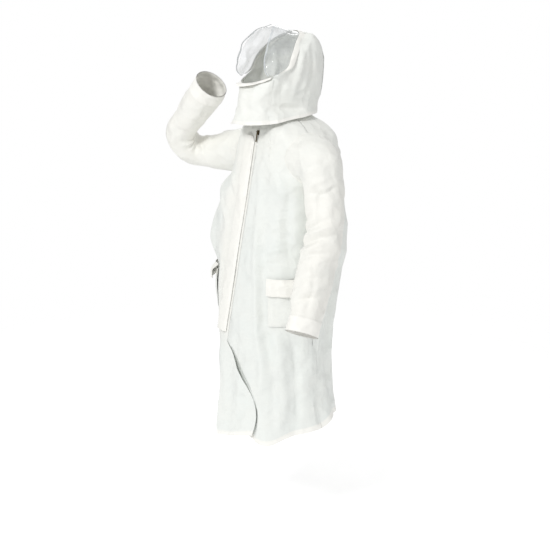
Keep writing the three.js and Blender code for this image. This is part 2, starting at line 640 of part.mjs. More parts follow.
// Points of the binding, on the hood's edge, and of the film's free edge, for the wearer's left half.
const EDGE_LEFT = [
  [0, 49, 256], [50, 36, 246], [84, 0, 215],
  [103, -26, 180], [106, -45, 145], [97, -74, 128],
];
const FREE_LEFT = [
  [0, -42, 270], [46, -70, 258], [72, -102, 215],
  [80, -120, 160], [82, -118, 134], [77, -104, 120],
];

// A curve over the head from the wearer's right to the left through a list for the left half.
function headCurve(points, grow) {
  const centre = vec(0, 0, 120);
  const moved = points.map((point) => {
    const from = vec(...point).sub(centre);
    return from.setLength(from.length() + grow).add(centre);
  });
  const mirrored = moved.slice(1).reverse().map((point) => vec(-point.x, point.y, point.z));
  return new THREE.CatmullRomCurve3([...mirrored, ...moved], false, "centripetal");
}

// A strip over the head between two shares of the way from the hood's edge to the film's free edge.
function visorStrip(from, to, lift, thickness, columns, rows) {
  const skin = (grow) => {
    const near = headCurve(EDGE_LEFT, grow);
    const far = headCurve(FREE_LEFT, grow);
    return (u, v) => {
      const a = near.getPoint(u);
      return a.lerp(far.getPoint(u), from + (to - from) * v);
    };
  };
  return thickSheet(skin(lift + thickness), skin(lift), columns, rows);
}

function addHood() {
  const shell = cut(hoodShell(), openingPrism());
  const far = 400;
  const slab = (x0, x1, y0, y1) => block(x0, x1, y0, y1, -far, far);
  const guardSlot = GUARD_HALF + GAP / 2;
  const guardHalf = GUARD_HALF - GAP / 2;
  const stripSlot = HOOD_STRIP_HALF + GAP / 2;
  const stripHalf = HOOD_STRIP_HALF - GAP / 2;
  const sides = cut(shell, slab(-guardSlot, guardSlot, -far, 0), slab(-stripSlot, stripSlot, -far, far));
  add("hood_side_left", common(sides, slab(0, far, -far, far)), CLOTH);
  add("hood_side_right", common(sides, slab(-far, 0, -far, far)), CLOTH);
  add("hood_centre_strip", common(shell, slab(-stripHalf, stripHalf, BEHIND_FACE, far)), CLOTH);
  add("face_guard", common(shell, slab(-guardHalf, guardHalf, -far, BEHIND_FACE)), CLOTH);
  add("visor_film", visorStrip(0.05, 0.93, FILM_LIFT, FILM, 26, 5), CLEAR);
  add("visor_edge_hem", visorStrip(0.94, 1, FILM_LIFT - 0.4, FILM_HEM, 26, 1), CLEAR);
  add("visor_binding", visorStrip(-0.06, 0.1, FILM_LIFT + FILM + GAP, BINDING, 26, 1), TRIM);
  add("guard_hem", guardHem(), TRIM);
}

// The folded band outside the guard's upper edge.
function guardHem() {
  const skin = (lift) => (u, v) => guardPoint((GUARD_HALF - 3) * (2 * u - 1), v, lift);
  return thickSheet(skin(SHEET + GAP), skin(GAP), 16, 1);
}

// A point on the guard at x, a share v of the band's depth below the opening's edge.
function guardPoint(x, v, lift) {
  const edgeHeight = (y) => readTable(OPENING, y, 1);
  let level = OPENING[OPENING.length - 1][1];
  let theta = 0;
  for (let i = 0; i < 6; i += 1) {
    const width = readTable(HOOD, level, 1);
    theta = Math.asin((Math.abs(x) / width) ** (HOOD_POWER / 2)) * Math.sign(x);
    level = edgeHeight(hoodPoint(theta, level, 0).y) - 1 - GUARD_HEM_DEPTH * v;
  }
  return hoodPoint(theta, level, -lift);
}

addBody();
addNeck();
addClosure();
addPocket(1, "left");
addPocket(-1, "right");
addLeftArm();
addRightArm();
addHood();

export default coat;
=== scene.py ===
import math

import bpy
import numpy as np
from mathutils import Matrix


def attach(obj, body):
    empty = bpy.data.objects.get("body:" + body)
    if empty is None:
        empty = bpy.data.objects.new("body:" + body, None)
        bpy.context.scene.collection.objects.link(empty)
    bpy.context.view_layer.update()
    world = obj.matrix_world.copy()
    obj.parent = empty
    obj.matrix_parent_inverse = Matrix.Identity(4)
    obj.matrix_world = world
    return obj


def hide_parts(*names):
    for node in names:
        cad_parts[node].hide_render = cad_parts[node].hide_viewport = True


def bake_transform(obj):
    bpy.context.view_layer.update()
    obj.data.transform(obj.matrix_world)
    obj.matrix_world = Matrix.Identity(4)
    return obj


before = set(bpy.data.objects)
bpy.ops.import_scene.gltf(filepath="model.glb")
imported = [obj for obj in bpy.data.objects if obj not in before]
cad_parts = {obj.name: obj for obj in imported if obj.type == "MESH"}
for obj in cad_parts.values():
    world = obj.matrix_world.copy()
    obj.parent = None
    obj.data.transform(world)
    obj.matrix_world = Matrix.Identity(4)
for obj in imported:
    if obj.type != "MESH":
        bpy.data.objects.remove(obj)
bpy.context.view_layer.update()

bl_info = {
    "name": "Hooded protective coat",
    "version": (1, 0, 0),
    "blender": (4, 5, 0),
    "location": "View3D > Sidebar > Coat",
    "description": "Makes a crisp white hooded coat with a clear visor, piece by piece",
    "category": "Object",
}

MM = 0.001  # the functions below work in millimetres, and the meshes are in metres

# ---------------------------------------------------------------- shape of the coat, in millimetres
# Height, right half-width, left half-width and back y of the body.
BODY = np.array([
    (-1400, 220, 236, 164), (-1035, 196, 218, 146), (-920, 188, 212, 134), (-800, 190, 204, 128),
    (-700, 198, 200, 130), (-640, 212, 198, 138), (-560, 238, 195, 154), (-440, 260, 194, 178),
    (-330, 250, 194, 186), (-260, 232, 191, 185), (-200, 203, 191, 177), (-140, 198, 194, 164),
    (-100, 190, 190, 146), (-60, 167, 167, 124), (-25, 126, 126, 104), (0, 76, 76, 92),
], float)
BODY_POWER = 2.5
BODY_MIDDLE = -10
CLOSURE_TOP, CLOSURE_BOTTOM = -42, -700
CLOSURE_TOP_X, CLOSURE_BOTTOM_X = 12, -12
NECK_FRONT_Y, FRONT_TOP_Y = -70, -99
FRONT_SLOPE, LOWER_SLOPE = 0.164, 0.05
FRONT_EDGE = 0.5  # from the zip's middle to each front edge, which is turned in over the zip
TUCK_START, TUCK_DEPTH = 9.0, 2.3  # where the turned-in edge begins, and how deep it lies
LAP_STANDOFF = 1.8
SIDE = math.pi / 2
SEAM_OVERLAP = 0.03  # how far each front runs on beneath the back panel at the side seam
# Height and x of the right front's free edge below the zip.
LAP_EDGE = np.array([(-1400, 100), (-1035, 118), (-905, 132), (-850, 104), (-775, 46), (-715, -6)], float)
# Angle in degrees and height of the hem, for the right front and for the left front and back.
LAP_HEM = np.array([(-90, -1034), (-50, -1046), (-6, -1040), (12, -1014), (26, -1000), (60, -1000)], float)
HEM = np.array([
    (-20, -1002), (22, -1004), (36, -1018), (50, -1019), (63, -1003), (76, -991), (90, -984),
    (116, -960), (150, -978), (185, -1004), (225, -1026), (270, -1034),
], float)

ARMHOLE_RADIUS = 80
ARMHOLE_Y, ARMHOLE_Z = -8, -128

CLOSURE_ORIGIN = np.array([12.0, -99.0, -42.0])
ZIP_LENGTH = 667.2
PLACKET_SEWN, PLACKET_FREE = -62.6, -8.6
PLACKET_TOP, PLACKET_BOTTOM = -22, -655

POCKET_TURN = math.radians(54)
POCKET_HALF, POCKET_TOP, POCKET_FOOT = 68, -20, -148
FLAP_HALF, FLAP_FOOT = 72, -52
POCKET_ORIGIN = {1: np.array([189.7, -100.7, -490.0]), -1: np.array([-213.7, -118.2, -490.0])}

# Level, half-width, front y and back y of the hood.
HOOD = np.array([
    (-56, 150, -184, 116), (-40, 140, -182, 112), (-24, 127, -178, 108), (-6, 112, -171, 106),
    (14, 102, -162, 106), (34, 98, -152, 109), (65, 98, -141, 117),
    (100, 104, -136, 124), (145, 108, -124, 127), (185, 103, -106, 121), (220, 86, -80, 104),
    (243, 56, -46, 76), (254, 22, -8, 38), (256, 0, 14, 14),
], float)
HOOD_POWER = 2.15
HOOD_STRIP_HALF = 50
GUARD_ANGLE = math.radians(48.6)  # from the front to the seam between the guard and each side panel
# Angle from the front and level of the hood's hem: it hangs in front, lies on the shoulders and clears the nape.
HOOD_HEM = np.array([(0, -12), (30, -16), (60, -14), (80, -6), (100, -1), (130, 3), (180, 6)], float)
# y and height of the hood's opening edge.
OPENING = np.array(
    [(-136, 100), (-98, 116), (-74, 128), (-45, 145), (-26, 180), (0, 215), (36, 246), (49, 256)], float
)
EDGE_LEFT = np.array(
    [(0, 49, 256), (50, 36, 246), (84, 0, 215), (103, -26, 180), (106, -45, 145), (97, -74, 128)], float
)
FREE_LEFT = np.array(
    [(0, -42, 270), (46, -70, 258), (72, -102, 215), (80, -120, 160), (82, -118, 134), (77, -104, 120)], float
)


# ---------------------------------------------------------------- curves and tables
def unit(vectors):
    """Each vector over its length."""
    return vectors / np.maximum(np.linalg.norm(vectors, axis=-1, keepdims=True), 1e-9)


def smooth(value, low, high):
    """3t^2 - 2t^3, with t running from 0 at low to 1 at high."""
    t = np.clip((value - low) / (high - low), 0, 1)
    return t * t * (3 - 2 * t)


def signed_power(value, power):
    """|value|^power with value's sign."""
    return np.sign(value) * np.abs(value) ** power


def curve_through(knots, values, at):
    """A cubic through every value, whose slope at each knot is that of the parabola through its neighbours."""
    knots, values = np.asarray(knots, float), np.asarray(values, float)
    slopes = np.gradient(values, knots, axis=0)
    i = np.clip(np.searchsorted(knots, at) - 1, 0, len(knots) - 2)
    h = knots[i + 1] - knots[i]
    t = (np.clip(at, knots[0], knots[-1]) - knots[i]) / h
    if values.ndim > 1:
        t, h = t[..., None], h[..., None]
    start = (2 * t**3 - 3 * t**2 + 1) * values[i] + (t**3 - 2 * t**2 + t) * h * slopes[i]
    return start + (3 * t**2 - 2 * t**3) * values[i + 1] + (t**3 - t**2) * h * slopes[i + 1]


def column(table, index, at):
    """The table's column at heights that aren't in it."""
    return curve_through(table[:, 0], table[:, index], at)


def arc_lengths(points):
    """Distance run along each line of points, from its first one."""
    steps = np.linalg.norm(np.diff(points, axis=-2), axis=-1)
    start = np.zeros(steps.shape[:-1] + (1,))
    return np.concatenate([start, np.cumsum(steps, axis=-1)], axis=-1)


# ---------------------------------------------------------------- relief: folds, creases and crumple
def ridge(points, path, width, height, sharp=False):
    """Height that falls off with the distance d from a line: height * exp(-(d/width)^2), or exp(-d/width) for a
    sharp crease, and runs out to nothing towards both ends of the line."""
    path = np.asarray(path, float)
    run = arc_lengths(path)
    best, at = np.full(points.shape[:-1], 1e9), np.zeros(points.shape[:-1])
    for k in range(len(path) - 1):
        step = path[k + 1] - path[k]
        t = np.clip(((points - path[k]) @ step) / (step @ step), 0, 1)
        distance = np.linalg.norm(points - path[k] - t[..., None] * step, axis=-1)
        nearer = distance < best
        best = np.where(nearer, distance, best)
        at = np.where(nearer, run[k] + t * (run[k + 1] - run[k]), at)
    share = at / run[-1]
    ends = np.sin(np.pi * np.clip(share, 0.02, 0.98)) ** 0.6
    fall = np.exp(-np.sqrt(best**2 + 1) / width) if sharp else np.exp(-((best / width) ** 2))
    return height * ends * fall


def crumple(points, seed, count, reach, height, along=None, lean=0.5):
    """The sum of small tents: each has a sharp ridge along a random plane through a random point, slopes down to
    both sides of it, and fades out with distance from the point. along is the way that most ridges run."""
    rng = np.random.default_rng(seed)
    flat = points.reshape(-1, 3)
    total = np.zeros(len(flat))
    centres = flat[rng.integers(0, len(flat), count)]
    across = rng.normal(size=(count, 3))
    if along is not None:
        way = unit(np.asarray(along, float))
        across -= lean * (across @ way)[:, None] * way
    across = unit(across)
    sizes = reach * rng.uniform(0.5, 1.5, count)
    heights = height * rng.uniform(-1, 1.3, count) * sizes / reach
    for centre, normal, size, rise in zip(centres, across, sizes, heights):
        offset = flat - centre
        near = np.exp(-((offset**2).sum(-1)) / size**2)
        side = np.sqrt((offset @ normal) ** 2 + 0.4)
        total += rise * near * (1 - side / (0.8 * size))
    return total.reshape(points.shape[:-1])


def grid_normals(points, wrap=False):
    """Unit normals of a grid of points: the cross product of its two directions."""
    if wrap:
        du = np.roll(points, -1, axis=1) - np.roll(points, 1, axis=1)
    else:
        du = np.gradient(points, axis=1)
    dv = np.gradient(points, axis=0)
    return unit(np.cross(du, dv))


# ---------------------------------------------------------------- meshes
def mesh_object(name, vertices, faces, normals=None):
    """A mesh from whole arrays of vertices in millimetres and of quads, shaded smooth."""
    mesh = bpy.data.meshes.new(name)
    mesh.from_pydata((vertices * MM).tolist(), [], faces.tolist())
    mesh.shade_smooth()
    if normals is not None:
        mesh.normals_split_custom_set_from_vertices(normals.tolist())
    thing = bpy.data.objects.new(name, mesh)
    bpy.context.scene.collection.objects.link(thing)
    return thing


def set_attribute(thing, name, values):
    """A number at each vertex, which the materials read by name."""
    layer = thing.data.attributes.new(name, "FLOAT", "POINT")
    layer.data.foreach_set("value", np.asarray(values, np.float32).ravel())


def sheet(name, points, thickness=0.8, wrap=False, keep=None, tone=0.5, layers=0.0, normals=None):
    """A closed sheet: the grid of points, with its faces out where du x dv points out, the same grid moved inwards
    by the thickness, and a rim that joins the two along every open edge. wrap joins the last column to the first."""
    rows, columns = points.shape[:2]
    if normals is None:
        normals = grid_normals(points, wrap)
    index = np.arange(rows * columns).reshape(rows, columns)
    right = np.roll(index, -1, axis=1) if wrap else index[:, 1:]
    left = index if wrap else index[:, :-1]
    quads = np.stack([left[:-1], right[:-1], right[1:], left[1:]], -1)
    if keep is not None:
        quads = quads[keep]
    quads = quads.reshape(-1, 4)
    edges = np.stack([quads, np.roll(quads, -1, axis=1)], -1).reshape(-1, 2)
    key = edges.min(1) * rows * columns + edges.max(1)
    _, first, counts = np.unique(key, return_index=True, return_counts=True)
    rim = edges[first[counts == 1]]
    total = rows * columns
    faces = np.concatenate([
        quads,
        quads[:, ::-1] + total,
        np.stack([rim[:, 1], rim[:, 0], rim[:, 0] + total, rim[:, 1] + total], -1),
    ])
    outer, way = points.reshape(-1, 3), normals.reshape(-1, 3)
    vertices = np.concatenate([outer, outer - way * thickness])
    shading = np.concatenate([way, -way])
    marks = [np.broadcast_to(value, (rows, columns)).ravel() for value in (tone, layers)]
    used, faces = np.unique(faces, return_inverse=True)
    faces = faces.reshape(-1, 4)
    thing = mesh_object(name, vertices[used], faces, shading[used])
    for attribute, values in zip(("tone", "layers"), marks):
        set_attribute(thing, attribute, np.concatenate([values, values])[used])
    add_cut_map(thing, points, used, faces)
    return thing


def add_cut_map(thing, points, used, faces):
    """A UV map in metres: the distance along the grid's middle row, and down its middle column."""
    rows, columns = points.shape[:2]
    along = arc_lengths(points[rows // 2]) * MM
    down = arc_lengths(points[:, columns // 2]) * MM
    flat = np.stack(np.meshgrid(along, down), -1).reshape(-1, 2)
    both = np.concatenate([flat, flat])[used]
    layer = thing.data.uv_layers.new(name="cut")
    layer.data.foreach_set("uv", both[faces.ravel()].astype(np.float32).ravel())


def laid_out(points):
    """Flat width and length of a grid, in metres: its longest row and its longest column."""
    return (
        float(arc_lengths(points)[:, -1].max()) * MM,
        float(arc_lengths(points.transpose(1, 0, 2))[:, -1].max()) * MM,
    )


def grid_area(points, wrap=False, keep=None):
    """Area of a grid in square metres, as two triangles for each cell."""
    if wrap:
        points = np.concatenate([points, points[:, :1]], axis=1)
    a, b, c, d = points[:-1, :-1], points[:-1, 1:], points[1:, 1:], points[1:, :-1]
    cells = np.linalg.norm(np.cross(b - a, c - a), axis=-1) + np.linalg.norm(np.cross(c - a, d - a), axis=-1)
    if keep is not None:
        cells = cells[keep]
    return float(cells.sum()) / 2 * MM * MM


def tube(name, path, radius, sides=8, closed=False):
    """A round cord along a line: circles across the line's direction, joined, with its ends closed by a face."""
    way = unit(np.roll(path, -1, axis=0) - np.roll(path, 1, axis=0)) if closed else unit(np.gradient(path, axis=0))
    seed = np.array([0.31, 0.87, 0.38])
    first = unit(np.cross(way, seed))
    second = np.cross(way, first)
    angles = np.linspace(0, 2 * np.pi, sides, endpoint=False)
    ring = np.cos(angles)[None, :, None] * first[:, None] + np.sin(angles)[None, :, None] * second[:, None]
    vertices = path[:, None] + radius * ring
    count = len(path)
    index = np.arange(count * sides).reshape(count, sides)
    turn = np.roll(index, -1, axis=1)
    following, turned = (
        (np.roll(index, -1, axis=0), np.roll(turn, -1, axis=0)) if closed else (index[1:], turn[1:])
    )
    here, around = (index, turn) if closed else (index[:-1], turn[:-1])
    faces = np.stack([here, around, turned, following], -1).reshape(-1, 4).tolist()
    if not closed:
        faces += [index[0][::-1].tolist(), index[-1].tolist()]
    mesh = bpy.data.meshes.new(name)
    mesh.from_pydata((vertices.reshape(-1, 3) * MM).tolist(), [], faces)
    mesh.shade_smooth()
    thing = bpy.data.objects.new(name, mesh)
    bpy.context.scene.collection.objects.link(thing)
    return thing


def stitch_rows(name, rows, pitch=4.0, length=2.9, radius=0.28):
    """Rows of stitches: at each step along each line lies one small thread, a six-sided barrel that is thin at both
    ends, sunk a little into the cloth. rows is a list of (line, normals), both arrays of points."""
    profile = np.array([(-0.5, 0.25), (-0.3, 0.95), (0.3, 0.95), (0.5, 0.25)])
    angles = np.linspace(0, 2 * np.pi, 6, endpoint=False)
    spots, ways, ups = [], [], []
    for line, normals in rows:
        run = arc_lengths(line)
        count = max(int(run[-1] / pitch), 1)
        at = (np.arange(count) + 0.5) * run[-1] / count
        spot = np.stack([np.interp(at, run, line[:, k]) for k in range(3)], -1)
        ahead = np.stack([np.interp(at + 0.5, run, line[:, k]) for k in range(3)], -1)
        behind = np.stack([np.interp(at - 0.5, run, line[:, k]) for k in range(3)], -1)
        up = unit(np.stack([np.interp(at, run, normals[:, k]) for k in range(3)], -1))
        spots.append(spot + 0.12 * up)
        ways.append(unit(ahead - behind))
        ups.append(up)
    spots, ways, ups = (np.concatenate(part)[:, None, None] for part in (spots, ways, ups))
    sides = np.cross(ways, ups)
    reach, size = profile[:, 0][None, :, None, None] * length, profile[:, 1][None, :, None, None] * radius
    turn = angles[None, None, :, None]
    vertices = spots + reach * ways + size * (np.cos(turn) * sides + 0.8 * np.sin(turn) * ups)
    count, rings, sides_count = vertices.shape[:3]
    index = np.arange(rings * sides_count).reshape(rings, sides_count)
    around = np.roll(index, -1, axis=1)
    body = np.stack([index[:-1], around[:-1], around[1:], index[1:]], -1).reshape(-1, 4)
    caps = np.array([
        index[0][[0, 3, 2, 1]], index[0][[0, 5, 4, 3]],
        index[-1][[0, 1, 2, 3]], index[-1][[0, 3, 4, 5]],
    ])
    one = np.concatenate([body[:, ::-1], caps])
    faces = (one[None] + (np.arange(count) * rings * sides_count)[:, None, None]).reshape(-1, 4)
    return mesh_object(name, vertices.reshape(-1, 3), faces)


# ---------------------------------------------------------------- materials
class Wire:
    """A number socket of a material's nodes, so that shader maths reads as Python."""

    def __init__(self, tree, socket):
        self.tree, self.socket = tree, socket

    def math(self, operation, *values):
        node = self.tree.nodes.new("ShaderNodeMath")
        node.operation = operation
        for place, value in enumerate(values):
            if isinstance(value, Wire):
                self.tree.links.new(value.socket, node.inputs[place])
            else:
                node.inputs[place].default_value = value
        return Wire(self.tree, node.outputs[0])

    def __add__(self, other):
        return self.math("ADD", self, other)

    def __radd__(self, other):
        return self.math("ADD", other, self)

    def __sub__(self, other):
        return self.math("SUBTRACT", self, other)

    def __rsub__(self, other):
        return self.math("SUBTRACT", other, self)

    def __mul__(self, other):
        return self.math("MULTIPLY", self, other)

    def __rmul__(self, other):
        return self.math("MULTIPLY", other, self)

    def __pow__(self, other):
        return self.math("POWER", self, other)

    def clip(self):
        return self.math("MINIMUM", self.math("MAXIMUM", self, 0.0), 1.0)


class Finish:
    """A material and the nodes that feed its one shader."""

    def __init__(self, name, **constants):
        self.material = bpy.data.materials.new(name)
        self.material.use_nodes = True
        self.tree = self.material.node_tree
        self.shader = self.tree.nodes["Principled BSDF"]
        for socket, value in constants.items():
            self.shader.inputs[socket.replace("_", " ")].default_value = value

    def node(self, kind, settings=(), **inputs):
        """A node of that kind: its settings first, then a value or a link for each named input."""
        made = self.tree.nodes.new("ShaderNode" + kind)
        for key, value in dict(settings).items():
            setattr(made, key, value)
        for key, value in inputs.items():
            self.feed(made.inputs[key.replace("_", " ")], value)
        return made

    def feed(self, socket, value):
        if isinstance(value, Wire):
            self.tree.links.new(value.socket, socket)
        elif isinstance(value, bpy.types.NodeSocket):
            self.tree.links.new(value, socket)
        else:
            socket.default_value = value

    def number(self, socket):
        return Wire(self.tree, socket)

    def attribute(self, name):
        return self.number(self.node("Attribute", {"attribute_name": name}).outputs["Fac"])

    def noise(self, where, scale, detail=4.0, roughness=0.5, distortion=0.0):
        made = self.node(
            "TexNoise", Vector=where, Scale=scale, Detail=detail, Roughness=roughness, Distortion=distortion
        )
        return self.number(made.outputs["Fac"])

    def warped(self, where, scale, amount):
        """Places moved by up to about half of an amount, by smooth noise, so that cells drawn there look torn."""
        noise = self.node("TexNoise", Vector=where, Scale=scale, Detail=2.0)
        moved = self.node("VectorMath", {"operation": "MULTIPLY_ADD"})
        for socket, value in zip(moved.inputs, (noise.outputs["Color"], (amount, amount, amount), where)):
            self.feed(socket, value)
        return moved.outputs[0]

    def mix(self, share, first, second):
        made = self.node("Mix", {"data_type": "RGBA"})
        self.feed(made.inputs["Factor"], share)
        self.feed(made.inputs["A"] if isinstance(first, float) else made.inputs[6], first)
        self.feed(made.inputs[7], second)
        return made.outputs[2]

    def relief(self, height, distance, below=None, strength=1.0):
        made = self.node("Bump", Height=height, Distance=distance, Strength=strength)
        if below is not None:
            self.feed(made.inputs["Normal"], below)
        return made.outputs["Normal"]

    def finish(self, **varying):
        for key, value in varying.items():
            self.feed(self.shader.inputs[key.replace("_", " ")], value)
        return self.material


def rgba(values):
    return (*values, 1.0)


def cloth_finish(name, cool, warm, folded):
    """Thin bonded sheet: cool where one layer hangs free, warm where it is dense, brighter where it is doubled, with
    soft clouds of fibre, small bond points, flecks of fibre and fine crushed lines."""
    made = Finish(name, Sheen_Weight=0.12, Sheen_Roughness=0.5, Specular_IOR_Level=0.35)
    where = made.node("TexCoord").outputs["Object"]
    clouds = made.noise(where, 16.0, 5.0, 0.55)
    fibres = made.noise(where, 420.0, 3.0, 0.7, 1.2)
    crush = made.number(made.node(
        "TexNoise", {"noise_type": "RIDGED_MULTIFRACTAL"}, Vector=where, Scale=26.0, Detail=4.0, Roughness=0.55
    ).outputs["Fac"])
    bonds = made.number(made.node("TexVoronoi", Vector=where, Scale=620.0).outputs["Distance"])
    share = (made.attribute("tone") + (clouds - 0.5) * 0.5).clip()
    # Painted shade, in part: a low tone mark turns the cloth to the cool colour, which is the greenish grey of cloth
    # in shade.
    colour = made.mix(share, rgba(cool), rgba(warm))
    colour = made.mix(made.attribute("layers"), colour, rgba(folded))
    flecks = ((fibres - 0.56) * 2.2).clip()
    colour = made.mix(flecks * 0.22, colour, (0.99, 0.99, 0.97, 1.0))
    bump = made.relief(crush, 0.0016)
    for scale, depth in ((11.0, 0.011), (27.0, 0.0042)):
        bent = made.warped(where, scale, 0.5 / scale)
        facets = made.number(made.node("TexVoronoi", Vector=bent, Scale=scale).outputs["Distance"])
        bump = made.relief(facets, depth, bump)
    bump = made.relief(fibres * 0.6 + bonds * 0.5, 0.00012, bump)
    rough = 0.56 + (clouds - 0.5) * 0.25 + flecks * 0.12
    return made.finish(Base_Color=colour, Roughness=rough, Normal=bump)


def film_finish(name, tint, edge):
    """Soft clear film: almost nothing where it is looked through, whiter and denser towards its turned edges and
    along its crushed lines, with a hard gloss."""
    made = Finish(name, Specular_IOR_Level=0.9, IOR=1.5, Coat_Weight=0.6, Coat_Roughness=0.03)
    where = made.node("TexCoord").outputs["Object"]
    # Painted reflection: how far the film is seen at a slant, which makes it whiter and more opaque.
    slant_reflection = made.number(made.node("LayerWeight", Blend=0.35).outputs["Facing"])
    crush = made.number(made.node(
        "TexNoise", {"noise_type": "RIDGED_MULTIFRACTAL"}, Vector=where, Scale=38.0, Detail=4.0, Roughness=0.6
    ).outputs["Fac"])
    haze = made.noise(where, 60.0, 3.0)
    # Painted reflection: the film is more opaque where it is seen at a slant.
    solid = (edge + slant_reflection * 0.30 + (haze - 0.5) * 0.06).clip()
    bump = made.relief(crush, 0.0016)
    made.material.blend_method = "BLEND"
    # Painted reflection: the colour turns whiter where the film is seen at a slant.
    return made.finish(
        Base_Color=made.mix(slant_reflection, rgba(tint), (0.95, 0.97, 0.98, 1.0)),
        Alpha=solid, Roughness=0.05 + haze * 0.08, Normal=bump,
    )


def tape_finish(name, colour):
    """Woven tape: a herringbone of two fine waves, a little darker in its valleys."""
    made = Finish(name, Sheen_Weight=0.2, Specular_IOR_Level=0.3)
    where = made.node("TexCoord").outputs["Object"]
    weave = made.number(made.node("TexWave", Vector=where, Scale=420.0, Distortion=1.5, Detail=1.0).outputs["Fac"])
    across = made.number(made.node(
        "TexWave", {"bands_direction": "Z"}, Vector=where, Scale=520.0, Distortion=0.6
    ).outputs["Fac"])
    thread = weave * across
    # Painted shade: the tape is darker where its weave is low.
    dark = tuple(0.82 * value for value in colour)
    return made.finish(
        Base_Color=made.mix(thread, rgba(dark), rgba(colour)), Roughness=0.78 - thread * 0.12,
        Normal=made.relief(thread, 0.0002),
    )


def metal_finish(name, bright, dark):
    """Antique plated metal: dark in its hollows, rubbed bright in places, with fine scratches."""
    made = Finish(name, Metallic=1.0)
    where = made.node("TexCoord").outputs["Object"]
    wear = ((made.noise(where, 240.0, 4.0, 0.6) - 0.42) * 3.0).clip()
    scratches = made.noise(where, 900.0, 2.0, 0.6, 2.0)
    return made.finish(
        Base_Color=made.mix(wear, rgba(dark), rgba(bright)), Roughness=0.3 + scratches * 0.25,
        Normal=made.relief(scratches, 0.0001),
    )


def hook_finish(name, colour):
    """Hook and loop tape: tight rows of small loops."""
    made = Finish(name, Sheen_Weight=0.4)
    where = made.node("TexCoord").outputs["Object"]
    loops = made.number(made.node("TexVoronoi", Vector=where, Scale=780.0).outputs["Distance"])
    fuzz = made.noise(where, 500.0, 4.0, 0.7)
    # Painted shade between the loops: darker away from each loop's centre.
    dark = tuple(0.7 * value for value in colour)
    return made.finish(
        Base_Color=made.mix((loops * 1.4).clip(), rgba(colour), rgba(dark)), Roughness=0.8 + fuzz * 0.15,
        Normal=made.relief(loops + fuzz, 0.0006),
    )


def thread_finish(name, colour):
    """Polyester thread: a fine twist in a slightly glossy yarn."""
    made = Finish(name, Specular_IOR_Level=0.5)
    where = made.node("TexCoord").outputs["Object"]
    twist = made.noise(where, 1600.0, 2.0, 0.5)
    # Painted shade: the thread is darker where its twist is low.
    dark = tuple(0.88 * value for value in colour)
    return made.finish(
        Base_Color=made.mix(twist, rgba(dark), rgba(colour)), Roughness=0.45 + twist * 0.2,
        Normal=made.relief(twist, 0.0001),
    )


FINISHES = {}


def finish(slot):
    """The material of a slot, made when it is first asked for, in the colours of the panel."""
    if slot not in FINISHES:
        colours = bpy.context.scene.coat_colours
        cool, warm, folded = (tuple(getattr(colours, key)) for key in ("cool", "warm", "folded"))
        makers = {
            "coat_sheet": lambda: cloth_finish("coat_sheet", cool, warm, folded),
            "turned_hem": lambda: cloth_finish("turned_hem", warm, folded, folded),
            "clear_film": lambda: film_finish("clear_film", tuple(colours.film), 0.13),
            "film_edge": lambda: film_finish("film_edge", tuple(colours.film), 0.55),
            "zip_tape": lambda: tape_finish("zip_tape", folded),
            "zip_coil": lambda: thread_finish("zip_coil", folded),
            "zip_metal": lambda: metal_finish("zip_metal", tuple(colours.metal), tuple(colours.metal_dark)),
            "hook_and_loop": lambda: hook_finish("hook_and_loop", warm),
            "thread": lambda: thread_finish("thread", folded),
        }
        FINISHES[slot] = makers[slot]()
    return FINISHES[slot]


def dress(thing, body, slot, nodes=(), material=None):
    """Gives a piece its body, its slot's finish and the nodes that it stands for."""
    thing.data.materials.append(finish(material or slot))
    if body:
        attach(thing, body)
    if nodes:
        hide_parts(*nodes)
    return thing


# ---------------------------------------------------------------- body of the coat
def front_y(z):
    """The front's y: curved at the neck, then one slope down the zip and a gentler one below it."""
    neck = NECK_FRONT_Y + (FRONT_TOP_Y - NECK_FRONT_Y) * np.clip(z / CLOSURE_TOP, 0, 1) ** 0.7
    zip_part = FRONT_TOP_Y - FRONT_SLOPE * (CLOSURE_TOP - np.maximum(z, CLOSURE_BOTTOM))
    below = -LOWER_SLOPE * np.maximum(CLOSURE_BOTTOM - z, 0)
    return np.where(z > CLOSURE_TOP, neck, zip_part + below)


def closure_x(z):
    """The zip's middle line, which leans to the wearer's right on its way down."""
    share = (CLOSURE_TOP - z) / (CLOSURE_TOP - CLOSURE_BOTTOM)
    return CLOSURE_TOP_X + (CLOSURE_BOTTOM_X - CLOSURE_TOP_X) * share


def body_sizes(z, side):
    """Half-width on one side, depth in front and depth behind, from the body's axis."""
    width = np.where(side < 0, column(BODY, 1, z), column(BODY, 2, z))
    return width, BODY_MIDDLE - front_y(z), column(BODY, 3, z) - BODY_MIDDLE


def around(theta, degrees, width):
    """exp(-(a/width)^2), with a the angle from a direction, both in degrees."""
    away = np.mod(np.degrees(theta) - degrees + 180, 360) - 180
    return np.exp(-((away / width) ** 2))


def bulge(theta, z):
    """How far the hanging cloth stands out from the plain section, by its angle and height."""
    right_front = around(theta, -52, 26)
    swell = 24 * smooth(z, -185, -245) * smooth(z, -500, -400)
    draw_in = -54 * smooth(z, -660, -800)
    left_back = around(theta, 108, 30)
    slim = -20 * smooth(z, -400, -540) * smooth(z, -980, -880) + 16 * smooth(z, -940, -1010)
    shoulder = 16 * around(theta, 138, 22) * smooth(z, 2, -22) * smooth(z, -105, -50)
    return right_front * (swell + draw_in) + left_back * slim + shoulder


